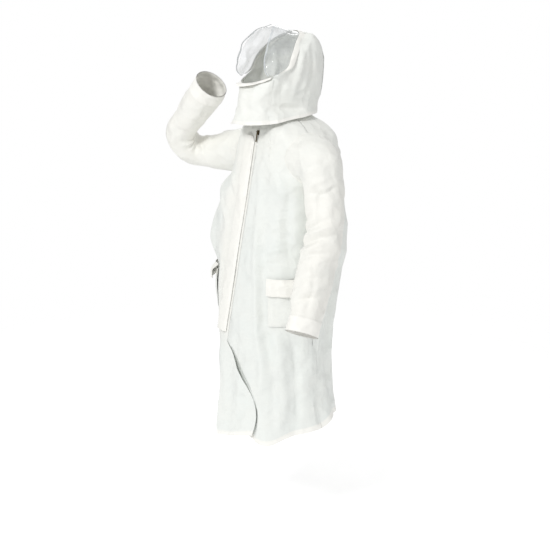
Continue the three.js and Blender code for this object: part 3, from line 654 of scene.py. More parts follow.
def body_point(theta, z, inset=0.0):
    """x = w sgn(s)|s|^(2/n), y = m - d sgn(c)|c|^(2/n), with s and c the sine and cosine of the angle from the
    front, w the half-width, d the depth and n the roundness; then out by the bulge and in by the inset."""
    s, c = np.sin(theta), np.cos(theta)
    width, front, back = body_sizes(z, s)
    depth = np.where(c > 0, front, back)
    out = bulge(theta, z) - inset
    x = width * signed_power(s, 2 / BODY_POWER) + out * s
    y = BODY_MIDDLE - depth * signed_power(c, 2 / BODY_POWER) - out * c
    return np.stack(np.broadcast_arrays(x, y, z), -1)


def body_x(y, z, side):
    """The plain section solved for x at a given y and z."""
    width, front, back = body_sizes(z, side)
    depth = np.where(y < BODY_MIDDLE, front, back)
    rest = 1 - np.clip(np.abs(y - BODY_MIDDLE) / depth, 0, 0.999) ** BODY_POWER
    return side * width * rest ** (1 / BODY_POWER)


def angle_at_x(x, z):
    """The angle at which the front passes through x."""
    width, _, _ = body_sizes(z, x)
    return np.sign(x) * np.arcsin(np.clip(np.abs(x) / width, 0, 1) ** (BODY_POWER / 2))


# Folds of the body: a path of (degrees from the front, height), a width and a height, and whether it is sharp.
BODY_FOLDS = [
    ([(-46, -158), (-33, -196), (-16, -236), (-4, -290)], 13, 8, False),
    ([(-62, -190), (-46, -236), (-28, -300), (-12, -385)], 16, 8, False),
    ([(-40, -178), (-26, -220), (-12, -262)], 9, -5, False),
    ([(-74, -230), (-58, -320), (-44, -430), (-34, -560)], 22, 9, False),
    ([(-30, -420), (-24, -560), (-18, -700), (-14, -860)], 20, 8, False),
    ([(-64, -560), (-50, -700), (-42, -860), (-40, -1030)], 20, 8, False),
    ([(-22, -640), (-14, -760), (-6, -900), (-4, -1040)], 12, -6, False),
    ([(12, -150), (14, -254), (20, -400), (28, -560), (35, -690), (41, -770), (38, -874), (41, -1020)], 15, 11, False),
    ([(24, -280), (31, -430), (39, -600), (47, -720), (52, -840), (50, -1010)], 14, -9, False),
    ([(50, -640), (60, -740), (64, -860), (60, -1000)], 18, 8, False),
    ([(70, -660), (76, -780), (77, -900), (74, -990)], 14, -7, False),
    ([(26, -176), (38, -196), (54, -238)], 26, 7, False),
    ([(60, -200), (56, -280), (60, -380), (66, -470)], 16, -7, False),
    ([(38, -312), (50, -306), (64, -318)], 5, 3.0, False),
    ([(36, -340), (48, -336), (63, -350)], 5, 3.2, False),
    ([(40, -366), (52, -372), (64, -368)], 4, 2.4, False),
    ([(30, -420), (44, -404), (60, -396)], 7, 3.5, False),
    ([(32, -446), (48, -440), (62, -452)], 6, -2.6, False),
    ([(2, -676), (18, -684), (36, -697)], 6, 3.2, True),
    ([(-48, -470), (-34, -478), (-20, -479)], 6, 3.0, True),
    ([(-2, -888), (14, -872), (30, -855)], 6, 2.6, True),
    ([(100, -690), (95, -770), (91, -842)], 6, 3.4, True),
    ([(91, -870), (89, -930), (90, -986)], 6, 3.0, True),
    ([(112, -240), (118, -360), (114, -500), (110, -640)], 20, 9, False),
    ([(130, -200), (138, -320), (140, -470), (134, -640), (136, -820), (138, -990)], 22, 10, False),
    ([(124, -420), (122, -560), (120, -720), (122, -900)], 15, -8, False),
    ([(158, -130), (160, -300), (166, -520), (160, -740), (163, -1000)], 24, 9, False),
    ([(180, -160), (182, -380), (178, -600), (184, -820), (180, -1000)], 10, -6, False),
    ([(202, -140), (206, -320), (198, -540), (204, -760), (200, -1010)], 24, 10, False),
    ([(222, -170), (226, -330), (222, -520), (228, -700), (225, -1010)], 16, -8, False),
    ([(242, -230), (246, -400), (240, -600), (246, -800), (244, -1020)], 20, 9, False),
    ([(120, -205), (150, -235), (190, -238), (225, -210)], 12, 5, False),
    ([(140, -690), (180, -684), (220, -692)], 5, 2.6, True),
    ([(130, -345), (180, -338), (235, -348)], 5, 2.4, True),
    ([(120, -130), (140, -110), (165, -98)], 10, 4, False),
    ([(240, -130), (222, -112), (196, -98)], 10, 4, False),
]


def body_relief(points):
    """Height of the body's folds and crumple at points of its plain surface. It runs out at the armholes, beside
    the zip, under the pockets and at the neck, so that what is sewn there fits."""
    total = np.zeros(points.shape[:-1])
    for path, width, height, sharp in BODY_FOLDS:
        degrees, z = np.array(path, float).T
        at = np.linspace(0, 1, 14)
        knots = np.linspace(0, 1, len(path))
        line = body_point(np.radians(curve_through(knots, degrees, at)), curve_through(knots, z, at))
        total += ridge(points, line, width, height, sharp)
    x, y, z = np.moveaxis(points, -1, 0)
    theta = np.arctan2(x, BODY_MIDDLE - y)
    flare = 7 * np.sin(7 * theta + 0.004 * z) + 5 * np.sin(12 * theta + 1.3 - 0.003 * z)
    total += flare * smooth(z, -560, -1040)
    total += crumple(points, 11, 170, 60, 3.4, (0, 0, 1), 0.75)
    total += crumple(points, 12, 420, 26, 1.7)
    hole = np.hypot(y - ARMHOLE_Y, z - ARMHOLE_Z) + 400 * (np.abs(x) < 90)
    near_zip = np.abs(x - closure_x(z) + 24) + 400 * (y > BODY_MIDDLE)
    total *= smooth(hole, ARMHOLE_RADIUS, ARMHOLE_RADIUS + 46)
    total *= 1 - (1 - smooth(near_zip, 40, 84)) * smooth(z, -800, -690)
    total *= smooth(z, 0, -70)
    for side in POCKET_ORIGIN:
        across, _, up = to_pocket(points, side)
        patch = smooth(np.abs(across), POCKET_HALF + 40, POCKET_HALF - 4)
        patch = patch * smooth(up, 45, 5) * smooth(up, POCKET_FOOT - 40, POCKET_FOOT)
        total *= 1 - 0.75 * patch * (np.sign(x) == side)
    return total


def to_pocket(points, side):
    """Points in a pocket's own frame: along its mouth, inwards and up."""
    offset = points - POCKET_ORIGIN[side]
    turn = side * POCKET_TURN
    along = offset[..., 0] * math.cos(turn) + offset[..., 1] * math.sin(turn)
    inward = -offset[..., 0] * math.sin(turn) + offset[..., 1] * math.cos(turn)
    return along, inward, offset[..., 2]


def from_pocket(along, inward, up, side):
    """The way back from a pocket's own frame."""
    turn = side * POCKET_TURN
    x = along * math.cos(turn) - inward * math.sin(turn)
    y = along * math.sin(turn) + inward * math.cos(turn)
    return np.stack(np.broadcast_arrays(x, y, up), -1) + POCKET_ORIGIN[side]


def body_grid(angles, hem, columns, rows, inset=0.0, top=0.0, lap=False):
    """A panel of the body: rows from its top to the hem's height at that angle, columns between two angles that
    depend on the height, pushed out along its normals by the relief."""
    share = np.linspace(0, 1, rows) ** 1.15
    u = np.linspace(0, 1, columns)
    z = np.repeat((top + (-1035 - top) * share)[:, None], columns, axis=1)
    for _ in range(3):
        start, end = angles(z)
        theta = start + (end - start) * u
        foot = curve_through(hem[:, 0], hem[:, 1], np.degrees(theta))
        z = top + (foot - top) * share[:, None]
    points = body_point(theta, z, inset)
    keep = np.ones((rows - 1, columns - 1), bool)
    for side in (1, -1):
        points, inside = open_armhole(points, side)
        corners = inside[:-1, :-1] & inside[1:, :-1] & inside[:-1, 1:] & inside[1:, 1:]
        keep &= ~corners
    out = -grid_normals(points)
    is_front = np.max(np.abs(theta)) < 2 * SIDE
    under = 1.2 * smooth(np.abs(theta), SIDE - 0.004, SIDE + 0.004) * is_front
    points = points + out * (body_relief(points) - under)[..., None]
    beside = np.abs(points[..., 0] - closure_x(z)) + 400 * (points[..., 1] > BODY_MIDDLE)
    tuck = TUCK_DEPTH * smooth(beside, TUCK_START, TUCK_START - 5) * smooth(z, -716, -700)
    points[..., 1] += tuck
    if is_front and not lap:
        beneath = smooth(right_edge_x(z) + 14 - points[..., 0], 0, 14) * smooth(-z, 700, 740)
        points[..., 1] += 4.5 * beneath
    if lap:
        forward = smooth(-z, 710, 760) * smooth(np.degrees(theta), -34, -6)
        points[..., 1] -= LAP_STANDOFF * forward * (1 - smooth(u, 0.95, 1.0))
    return points, keep, theta, z


def open_armhole(points, side):
    """Points within the armhole's circle move out to it, over the body's surface."""
    x, y, z = np.moveaxis(points, -1, 0)
    away = np.hypot(y - ARMHOLE_Y, z - ARMHOLE_Z)
    inside = (away < ARMHOLE_RADIUS) & (x * side > 60)
    scale = np.where(inside, ARMHOLE_RADIUS / np.maximum(away, 1e-6), 1.0)
    new_y = ARMHOLE_Y + (y - ARMHOLE_Y) * scale
    new_z = ARMHOLE_Z + (z - ARMHOLE_Z) * scale
    new_x = np.where(inside, body_x(new_y, new_z, side), x)
    return np.stack([new_x, new_y, new_z], -1), inside


def right_edge_x(z):
    """x of the right front's free edge: beside the zip, then swinging across below it."""
    lap = curve_through(LAP_EDGE[:, 0], LAP_EDGE[:, 1], z)
    share = smooth(z, -742, -698)
    return lap * (1 - share) + (closure_x(z) - FRONT_EDGE) * share



def left_angles(z):
    return angle_at_x(closure_x(z) + FRONT_EDGE, z), SIDE + SEAM_OVERLAP


def right_angles(z):
    return -SIDE - SEAM_OVERLAP, angle_at_x(right_edge_x(z), z)


def back_angles(z):
    return SIDE, 3 * SIDE


def declare_cloth(points, wrap=False, keep=None):
    """Declares a sheet with sizes measured on its finished surface, folds included: its longest row by its
    longest column, and the area of its cells."""
    width, length = laid_out(np.concatenate([points, points[:, :1]], 1) if wrap else points)
    area = min(grid_area(points, wrap, keep), width * length)


PANELS = {
    "front_panel_left": (left_angles, HEM, 120, 250, False),
    "front_panel_right": (right_angles, LAP_HEM, 140, 250, True),
    "back_panel": (back_angles, HEM, 170, 250, False),
}


def make_body():
    """The three panels of the body, each with the folded strip inside its hem."""
    strips = {
        "front_panel_left": "hem_strip_left",
        "front_panel_right": "hem_strip_right",
        "back_panel": "hem_strip_back",
    }
    rows = []
    for name, (angles, hem, columns, count, lap) in PANELS.items():
        points, keep, theta, z = body_grid(angles, hem, columns, count, lap=lap)
        low = z - z[-1:]
        doubled = smooth(low, 17, 14) * 0.9
        # Painted shade, in part: from the chest down the body's cloth leans to the cool colour, the greenish grey of
        # cloth in shade; near the neck it is warmer.
        tone = 0.25 + 0.35 * smooth(z, -260, -60)
        beside_zip = smooth(np.degrees(theta), -34, -14) * smooth(z, -760, -660) * (name == "front_panel_right")
        tone = tone + (0.8 - tone) * beside_zip
        panel = sheet(name, points[:, ::-1], keep=keep[:, ::-1], tone=tone[:, ::-1], layers=doubled[:, ::-1])
        dress(panel, "coat", "coat_sheet", [name])
        strip = make_hem_strip(strips[name], points, low)
        declare_cloth(points, keep=keep)
        rows.append(hem_stitches(points, low, 13.5))
    dress(stitch_rows("hem_stitches", rows), "coat", "turned_hem", material="thread")


def row_at_height(points, low, height):
    """The line of a panel at a height above its hem."""
    count = points.shape[1]
    share = np.array([np.interp(-height, -low[:, k], np.arange(len(low))) for k in range(count)])
    below = np.clip(share.astype(int), 0, len(low) - 2)
    part = (share - below)[:, None]
    columns = np.arange(count)
    return points[below, columns] * (1 - part) + points[below + 1, columns] * part


def hem_stitches(points, low, height):
    """A line of stitches along the hem and the way they face."""
    line = row_at_height(points, low, height)
    higher = row_at_height(points, low, height + 6)
    out = unit(np.cross(np.gradient(line, axis=0), higher - line))
    outward = np.sign((out * (line - [0, BODY_MIDDLE, 0])).sum(-1, keepdims=True))
    return line + outward * out * 0.1, out * outward


def make_hem_strip(name, points, low):
    """The hem's turned-in strip: the panel's last rows, moved inwards, over the strip's depth."""
    levels = [row_at_height(points, low, height) for height in (14.5, 11, 7.5, 4, 0.6)]
    grid = np.stack(levels)
    inwards = grid_normals(grid)
    strip = sheet(name, (grid + inwards * 1.6)[:, ::-1], 0.7, tone=1.0, layers=1.0)
    return dress(strip, "coat", "turned_hem", [name])


def make_neck():
    """The stand collar inside the hood and the band over its seam at the nape."""
    for name, inset, low, high, start, end, slot in (
        ("stand_collar", 7.0, -8, 38, 0.32, 2 * math.pi - 0.32, "coat_sheet"),
        ("neck_seam_band", 4.6, 3, 15, SIDE, 3 * SIDE, "turned_hem"),
    ):
        theta = np.linspace(start, end, 120)[None]
        level = np.linspace(high, low, 16)[:, None]
        base = body_point(np.repeat(theta, 16, 0), np.zeros((16, 120)), inset)
        base[..., 2] = level + 1.6 * np.sin(5 * theta) * smooth(level, low, high)
        lean = 2.5 * np.sin(3 * theta + 0.6) * smooth(level, low + 8, high)
        out = -grid_normals(base)
        base = base + out * lean[..., None] * (name == "stand_collar")
        piece = sheet(name, base[:, ::-1], 1.4, tone=0.7, layers=0.6)
        dress(piece, "coat", slot, [name])
        declare_cloth(base)


# ---------------------------------------------------------------- closure
CLOSURE_UP = np.array([0.03597, 0.161733, 0.986179])
CLOSURE_ACROSS = np.array([0.999353, -0.005821, -0.035496])
CLOSURE_IN = np.array([0.0, 0.986817, -0.161838])


def closure_point(x, y, z):
    """A point of the closure's own frame: across to the wearer's left, inwards and up the zip."""
    x, y, z = (part[..., None] for part in np.broadcast_arrays(x, y, z))
    return CLOSURE_ORIGIN + x * CLOSURE_ACROSS + y * CLOSURE_IN + z * CLOSURE_UP


def make_placket():
    """The storm placket: a doubled strip that is sewn on one side, with its free top corner cut off."""
    rows, columns = 260, 28
    z = np.linspace(PLACKET_TOP, PLACKET_BOTTOM, rows)[:, None]
    u = np.linspace(0, 1, columns)[None]
    free = PLACKET_FREE - 14 * np.clip((z - PLACKET_TOP + 20) / 20, 0, 1) + 0.8 * np.sin(z / 47) * (z < -50)
    x = PLACKET_SEWN + (free - PLACKET_SEWN) * u
    bow = 1.6 * np.sin(np.pi * u) + 1.2 * u**2 * (1 + np.sin(z / 61 + 0.7))
    edge = 0.5 * smooth(u, 0.90, 0.93) + 1.2 * smooth(u, 0.06, 0.0)
    y = -4.6 - bow + edge + (3.6 + bow - edge) * smooth(u, 0.80, 0.99)
    points = closure_point(x, y, z)
    relief = crumple(points, 31, 70, 30, 1.2, CLOSURE_ACROSS, 0.3) * np.sin(np.pi * np.clip(u, 0.02, 1)) ** 0.5
    points = points - CLOSURE_IN * np.clip(relief, -1.2, 3)[..., None]
    placket = sheet("storm_placket", points, 1.1, tone=0.9, layers=0.35 + 0.5 * smooth(u, 0.3, 0.95))
    dress(placket, "placket", "coat_sheet", ["storm_placket"])
    declare_cloth(points)
    lines = []
    for at in (0.05, 0.90):
        column_index = int(at * (columns - 1))
        lines.append((points[:, column_index], np.repeat(-CLOSURE_IN[None], rows, 0)))
    dress(stitch_rows("placket_stitches", lines), "placket", "coat_sheet", material="thread")


def coil_teeth(side):
    """Half of a zip's coil: one flat loop of nylon for each step, a short bent barrel of six-sided rings."""
    pitch, count = 1.5, int((ZIP_LENGTH - 34) / 1.5)
    turn = np.linspace(-2.2, 2.2, 6)
    line = np.stack([1.2 * np.cos(turn) - 1.5, 0.75 * np.sin(turn), 0.2 * turn], -1)
    line[:, 0] = -side * (line[:, 0] + 1.0) - side * 0.2 + side * 1.6
    way = unit(np.gradient(line, axis=0))
    first = unit(np.cross(way, [0, 0, 1.0]))
    second = np.cross(way, first)
    angles = np.linspace(0, 2 * np.pi, 6, endpoint=False)
    ring = np.cos(angles)[None, :, None] * first[:, None] + np.sin(angles)[None, :, None] * second[:, None]
    one = line[:, None] + 0.36 * ring
    index = np.arange(one.shape[0] * 6).reshape(-1, 6)
    around = np.roll(index, -1, axis=1)
    faces = np.stack([index[:-1], around[:-1], around[1:], index[1:]], -1).reshape(-1, 4)
    caps = np.array([
        index[0][[0, 3, 2, 1]], index[0][[0, 5, 4, 3]],
        index[-1][[0, 1, 2, 3]], index[-1][[0, 3, 4, 5]],
    ])
    faces = np.concatenate([faces, caps])
    steps = -18 - pitch * (np.arange(count) + (0.5 if side < 0 else 0))
    local = np.repeat(one.reshape(1, -1, 3), count, 0)
    local[..., 2] += steps[:, None]
    points = closure_point(local[..., 0], local[..., 1] + 4.6, local[..., 2])
    total = (faces[None] + (np.arange(count) * one.shape[0] * 6)[:, None, None]).reshape(-1, 4)
    return points.reshape(-1, 3), total


def make_zip():
    """The zip: its coils are new, and its tapes, stops, box, slider and puller keep their own shape."""
    for side, word in ((1, "left"), (-1, "right")):
        vertices, faces = coil_teeth(side)
        coil = mesh_object("zip_coil_" + word, vertices, faces)
        dress(coil, "coat", "zip_coil", ["zip_coil_" + word])
        recolour("zip_tape_" + word, "zip_tape")
        recolour("zip_top_stop_" + word, "zip_metal")
    for node in ("zip_bottom_box", "zip_slider", "zip_puller"):
        recolour(node, "zip_metal")
    for number in (1, 2, 3):
        recolour(f"placket_loop_patch_{number}", "hook_and_loop")
        recolour(f"front_hook_patch_{number}", "hook_and_loop")


def recolour(node, slot):
    """A node that keeps its shape gets its slot's finish."""
    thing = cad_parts[node]
    thing.data.materials.clear()
    thing.data.materials.append(finish(slot))


# ---------------------------------------------------------------- pockets
def inward_at(along, up, side):
    """How far inwards the body's surface lies at a place of the pocket's frame, by halving the angle's range."""
    z = up + POCKET_ORIGIN[side][2]
    low = np.full(np.shape(along), math.radians(-10 if side > 0 else -120))
    high = np.full(np.shape(along), math.radians(120 if side > 0 else 10))
    for _ in range(26):
        middle = (low + high) / 2
        reached, _, _ = to_pocket(body_point(middle, z), side)
        low = np.where(reached < along, middle, low)
        high = np.where(reached < along, high, middle)
    points = body_point((low + high) / 2, z)
    inward = to_pocket(points, side)[1]
    return inward - body_relief(points)


def make_pockets():
    """A patch pocket on each front: it lies on the coat along its edges, bags in the middle and gapes at its mouth."""
    for side, word in ((1, "left"), (-1, "right")):
        u = np.linspace(-1, 1, 60)[None]
        v = np.linspace(0, 1, 56)[:, None]
        along = POCKET_HALF * u * (1 - 0.03 * v)
        up = POCKET_TOP + (POCKET_FOOT - POCKET_TOP) * v + 2 * u**2 * (1 - v)
        along, up = np.broadcast_arrays(along, up)
        edge = smooth(1 - np.abs(u), 0, 0.24) * (1 - smooth(v, 0.93, 1.0))
        pouch = 0.3 + edge * (3 + 2.8 * np.sin(np.pi * np.clip(v, 0, 1) ** 0.8) * (1 - u**2))
        inward = inward_at(along, up, side) - pouch
        points = from_pocket(along, inward, up, side)
        out = -grid_normals(points)
        relief = np.clip(crumple(points, 40 + side, 40, 30, 1.2), -1.5, 1.5) * edge
        points = points + out * relief[..., None]
        doubled = smooth(v, 0.17, 0.15) * 0.8 * np.ones_like(u)
        pocket = sheet("pocket_" + word, points[:, ::-1], tone=0.45, layers=doubled[:, ::-1])
        dress(pocket, "coat", "coat_sheet", ["pocket_" + word])
        declare_cloth(points)
        out = -grid_normals(points)
        inner = [(points[:, 2], out[:, 2]), (points[:, -3], out[:, -3]), (points[-4, 2:-2], out[-4, 2:-2])]
        lines = [(line, way) for line, way in inner] + [(points[9, 2:-2], out[9, 2:-2])]
        dress(stitch_rows(f"pocket_{word}_stitches", lines), "coat", "coat_sheet", material="thread")
        make_flap(side, word)


def make_flap(side, word):
    """The pocket's flap: sewn on above the pocket, out over its mouth and straight down, with crisp edges."""
    u = np.linspace(-1, 1, 64)[None]
    v = np.linspace(0, 1, 30)[:, None]
    along, up = np.broadcast_arrays(FLAP_HALF * u * (1 + 0.012 * v), FLAP_FOOT * v + 1.2 * u**2 * v)
    ends = smooth(1 - np.abs(u), 0, 0.22)
    over = 1.2 + (1.2 + 6.6 * ends) * smooth(v, 0, 0.35) + 1.0 * np.sin(np.pi * v)
    body = inward_at(along, np.maximum(up, -30), side)
    plane = body.min(axis=1, keepdims=True)
    share = 0.5 * smooth(v, 0, 0.5)
    inward = body * (1 - share) + plane * share - over
    points = from_pocket(along, inward, up, side)
    relief = crumple(points, 50 + side, 24, 34, 1.0) * (0.3 + 0.7 * np.sin(np.pi * v))
    out = -grid_normals(points)
    points = points + out * np.clip(relief, -1.5, 1.5)[..., None]
    patch = points[13:24, 24:40] - out[13:24, 24:40] * 1.5
    loops = sheet("flap_loop_patch_" + word, patch[:, ::-1], 0.9)
    dress(loops, "flap_" + word, "hook_and_loop", ["flap_loop_patch_" + word])
    flap = sheet("pocket_flap_" + word, points[:, ::-1], 1.1, tone=1.0, layers=0.9)
    dress(flap, "flap_" + word, "coat_sheet", ["pocket_flap_" + word])
    declare_cloth(points)
    out = -grid_normals(points)
    lines = [
        (points[1:-2, 2], out[1:-2, 2]),
        (points[1:-2, -3], out[1:-2, -3]),
        (points[-3, 2:-2], out[-3, 2:-2]),
    ]
    lines.append((points[2, 1:-1], out[2, 1:-1]))
    dress(stitch_rows(f"flap_{word}_stitches", lines), "flap_" + word, "coat_sheet", material="thread")


# ---------------------------------------------------------------- sleeves
def sleeve_rings(rings, rows):
    """Rings between the given ones: centre, direction, radii and reference each follow a curve through them."""
    centres = np.array([ring[0] for ring in rings], float)
    ways = unit(np.array([ring[1] for ring in rings], float))
    radii = np.array([ring[2] for ring in rings], float)
    references = unit(np.array([ring[3] for ring in rings], float))
    knots = arc_lengths(centres)
    at = np.linspace(0, knots[-1], rows)
    centre, way, radius, reference = (
        curve_through(knots, part, at) for part in (centres, ways, radii, references)
    )
    way = unit(way)
    second = unit(reference - (reference * way).sum(-1, keepdims=True) * way)
    return centre, way, np.cross(second, way), second, radius, at


def sleeve_grid(rings, rows, columns, side, angle_start):
    """A sleeve: centre + a r cos(t) + b r' sin(t) for each ring, and near the body each ring is drawn to the line in
    which the armhole's circle meets the body."""
    centre, _, first, second, radius, at = sleeve_rings(rings, rows)
    t = angle_start + np.linspace(0, 2 * np.pi, columns, endpoint=False)
    cos, sin = np.cos(t)[None, :, None], np.sin(t)[None, :, None]
    points = (
        centre[:, None]
        + first[:, None] * cos * radius[:, None, :1]
        + second[:, None] * sin * radius[:, None, 1:]
    )
    circle = first[0][None] * np.cos(t)[:, None] + second[0][None] * np.sin(t)[:, None]
    y = ARMHOLE_Y + (ARMHOLE_RADIUS - 0.8) * circle[:, 1]
    z = ARMHOLE_Z + (ARMHOLE_RADIUS - 0.8) * circle[:, 2]
    seam = np.stack([body_x(y, z, side) - side * 1.2, y, z], -1)
    share = smooth(at, 0, 62)[:, None, None]
    return seam[None] * (1 - share) + points * share, at


def sleeve_relief(grid, folds, seed, at, end_calm=30):
    """Height of a sleeve's folds and crumple. A fold is a path of (share of the length, degrees round)."""
    rows, columns = grid.shape[:2]
    total = np.zeros((rows, columns))
    for path, width, height in folds:
        share, degrees = np.array(path, float).T
        knots = np.linspace(0, 1, len(path))
        fine = np.linspace(0, 1, 12)
        row = np.clip(curve_through(knots, share, fine) * (rows - 1), 0, rows - 1).astype(int)
        col = (curve_through(knots, degrees, fine) / 360 * columns).astype(int) % columns
        total += ridge(grid, grid[row, col], width, height)
    total += crumple(grid, seed, 110, 44, 3.4)
    total += crumple(grid, seed + 1, 260, 20, 1.7)
    calm = smooth(at, 4, 40) * smooth(at[-1] - at, 4, end_calm)
    return total * calm[:, None]


def make_sleeve(word, side, rings, folds, seed, split, rows, angle_start, shoulder, elbow):
    """One sleeve in two pieces that meet inside the upper arm, where both follow it: the first turns from the coat to
    the upper arm, the second from the upper arm to the forearm. Both are cut from one grid, so they meet flush."""
    columns = 132
    base, at = sleeve_grid(rings, rows, columns, side, angle_start)
    out = -grid_normals(base, wrap=True)
    grid = base + out * sleeve_relief(base, folds, seed, at)[..., None]
    normals = -grid_normals(grid, wrap=True)
    cut = int(split * rows)
    low = at[-1] - at
    tone = np.repeat((0.72 + 0.2 * smooth(at, 0, 200))[:, None], columns, 1)
    doubled = np.repeat((0.85 * smooth(low, 47, 45))[:, None], columns, 1)
    for part, start, end, bodies, span in (
        ("upper", 0, cut + 1, ("coat", "upper_arm_" + word), shoulder),
        ("lower", cut, rows, ("upper_arm_" + word, "forearm_" + word), elbow),
    ):
        name = f"{part}_sleeve_{word}"
        piece = sheet(
            name, grid[start:end, ::-1], wrap=True, tone=tone[start:end], layers=doubled[start:end],
            normals=normals[start:end, ::-1],
        )
        dress(piece, None, "coat_sheet", [name])
        tuple(v * MM for v in span[0])
        tuple(v * MM for v in span[1])
        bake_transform(piece)
        declare_cloth(grid[start:end], wrap=True)
    seam = tube("armhole_seam_" + word, base[0] + out[0] * 0.2 + [side * 1.6, 0, 0], 1.7, 8, closed=True)
    dress(seam, "coat", "coat_sheet", material="turned_hem")
    make_cuff(word, grid, normals, low)


def make_cuff(word, grid, normals, low):
    """The cuff's turned-in band and the row of stitches that holds it."""
    rows = np.arange(len(low))
    levels = np.interp([44, 33, 22, 11, 0.8], low[::-1], rows[::-1])
    below = np.clip(levels.astype(int), 0, len(low) - 2)
    part = (levels - below)[:, None, None]
    band = grid[below] * (1 - part) + grid[below + 1] * part
    inwards = normals[below]
    cuff = sheet("cuff_hem_" + word, (band - inwards * 1.7)[:, ::-1], 0.7, wrap=True, tone=1.0, layers=1.0)
    dress(cuff, "forearm_" + word, "turned_hem", ["cuff_hem_" + word])
    line = np.concatenate([band[0], band[0][:1]])
    way = np.concatenate([inwards[0], inwards[0][:1]])
    stitches = stitch_rows(f"cuff_{word}_stitches", [(line, way)])
    dress(stitches, "forearm_" + word, "turned_hem", material="thread")


BACKWARDS = (0.0, 1.0, 0.0)
LEFT_RINGS = [
    ((190, -8, -128), (1, 0, 0), (79, 79), BACKWARDS),
    ((226, -14, -138), (0.9, 0, -0.44), (70, 72), BACKWARDS),
    ((254, -20, -182), (0.5, -0.06, -0.87), (58, 65), BACKWARDS),
    ((270, -26, -238), (0.27, -0.1, -0.96), (56, 62), BACKWARDS),
    ((283, -33, -292), (0.22, -0.17, -0.96), (54, 60), BACKWARDS),
    ((296, -46, -345), (0.25, -0.26, -0.93), (54, 60), BACKWARDS),
    ((313, -82, -425), (0.19, -0.4, -0.9), (54, 58), BACKWARDS),
    ((330, -117, -505), (0.19, -0.4, -0.9), (52, 56), BACKWARDS),
    ((344, -146, -570), (0.19, -0.4, -0.9), (44, 52), BACKWARDS),
    ((353, -165, -612), (0.19, -0.4, -0.9), (40, 50), BACKWARDS),
]
LEFT_FOLDS = [
    ([(0.22, 170), (0.25, 215), (0.24, 265)], 7, 5),
    ([(0.19, 200), (0.20, 240), (0.23, 280)], 9, -4),
    ([(0.37, 190), (0.42, 240), (0.45, 300), (0.43, 350)], 9, 6),
    ([(0.41, 180), (0.46, 240), (0.50, 310)], 9, -5),
    ([(0.46, 170), (0.50, 230), (0.53, 290), (0.51, 350)], 9, 7),
    ([(0.34, 260), (0.38, 310), (0.40, 360)], 8, 5),
    ([(0.52, 200), (0.56, 250), (0.57, 310)], 8, -5),
    ([(0.57, 180), (0.60, 240), (0.63, 300)], 9, 5),
    ([(0.70, 190), (0.73, 240), (0.78, 290), (0.80, 330)], 8, 5),
    ([(0.75, 170), (0.79, 230), (0.84, 280)], 8, -4),
    ([(0.80, 180), (0.83, 230), (0.86, 270)], 7, 4),
    ([(0.28, 120), (0.40, 110), (0.52, 100), (0.62, 95)], 14, 7),
    ([(0.15, 230), (0.24, 232), (0.34, 226), (0.42, 222)], 15, 6),
    ([(0.48, 60), (0.52, 100), (0.50, 140)], 9, 6),
    ([(0.56, 60), (0.60, 110), (0.58, 150)], 10, -5),
    ([(0.66, 215), (0.80, 212), (0.93, 214)], 9, 4),
]

ELBOW_CENTRE = np.array([-319.4, -133.4, -82.6])
ELBOW_OUT = np.array([-0.8232, -0.3839, -0.4182])
ELBOW_ON = np.array([-0.0739, -0.6580, 0.7494])
ELBOW_SIDE = np.array([-0.5629, 0.6478, 0.5133])
ELBOW_BEND, ELBOW_TURN = 64, math.radians(68.81)
RIGHT_UPPER_WAY = (-0.7945, -0.5959, -0.1192)
RIGHT_LOWER_WAY = np.array([0.7411, 0.1202, 0.6610])


def right_rings():
    """The raised sleeve: out from the shoulder, round the elbow's arc and back up to the cuff."""
    side = tuple(ELBOW_SIDE)
    rings = [
        ((-190, -8, -128), (-1, 0, 0), (79, 79), side),
        ((-224, -19, -130), (-0.93, -0.37, -0.06), (74, 74), side),
        ((-260, -45, -132), RIGHT_UPPER_WAY, (66, 67), side),
        ((-298, -75, -135), RIGHT_UPPER_WAY, (56, 58), side),
    ]
    for angle in np.linspace(-ELBOW_TURN, ELBOW_TURN, 7):
        out = ELBOW_OUT * math.cos(angle) + ELBOW_ON * math.sin(angle)
        on = ELBOW_ON * math.cos(angle) - ELBOW_OUT * math.sin(angle)
        rings.append((tuple(ELBOW_CENTRE + ELBOW_BEND * out), tuple(on), (49, 52), side))
    end = ELBOW_CENTRE + ELBOW_BEND * (ELBOW_OUT * math.cos(ELBOW_TURN) + ELBOW_ON * math.sin(ELBOW_TURN))
    for reach, radii in ((86, (54, 56)), (170, (54, 55)), (215, (52, 52))):
        rings.append((tuple(end + RIGHT_LOWER_WAY * reach), tuple(RIGHT_LOWER_WAY), radii, side))
    return rings


RIGHT_FOLDS = [
    ([(0.18, 20), (0.24, 60), (0.30, 100)], 9, 6),
    ([(0.22, 330), (0.28, 380), (0.33, 420)], 10, -5),
    ([(0.27, 300), (0.32, 350), (0.36, 395)], 9, 6),
    ([(0.34, 280), (0.38, 340), (0.42, 390), (0.44, 430)], 9, 6),
    ([(0.40, 300), (0.44, 350), (0.47, 400)], 8, -5),
    ([(0.46, 300), (0.48, 350), (0.50, 410)], 9, 7),
    ([(0.52, 290), (0.54, 340), (0.55, 400)], 8, -5),
    ([(0.58, 300), (0.59, 350), (0.60, 410)], 9, 6),
    ([(0.50, 120), (0.52, 170), (0.51, 220)], 12, 5),
    ([(0.42, 130), (0.44, 180), (0.43, 230)], 10, -4),
    ([(0.66, 0), (0.72, 50), (0.80, 90)], 10, 5),
    ([(0.64, 200), (0.72, 230), (0.82, 250)], 10, 5),
    ([(0.20, 200), (0.30, 190), (0.40, 180)], 12, 6),
    ([(0.70, 300), (0.80, 310), (0.90, 305)], 9, 4),
]


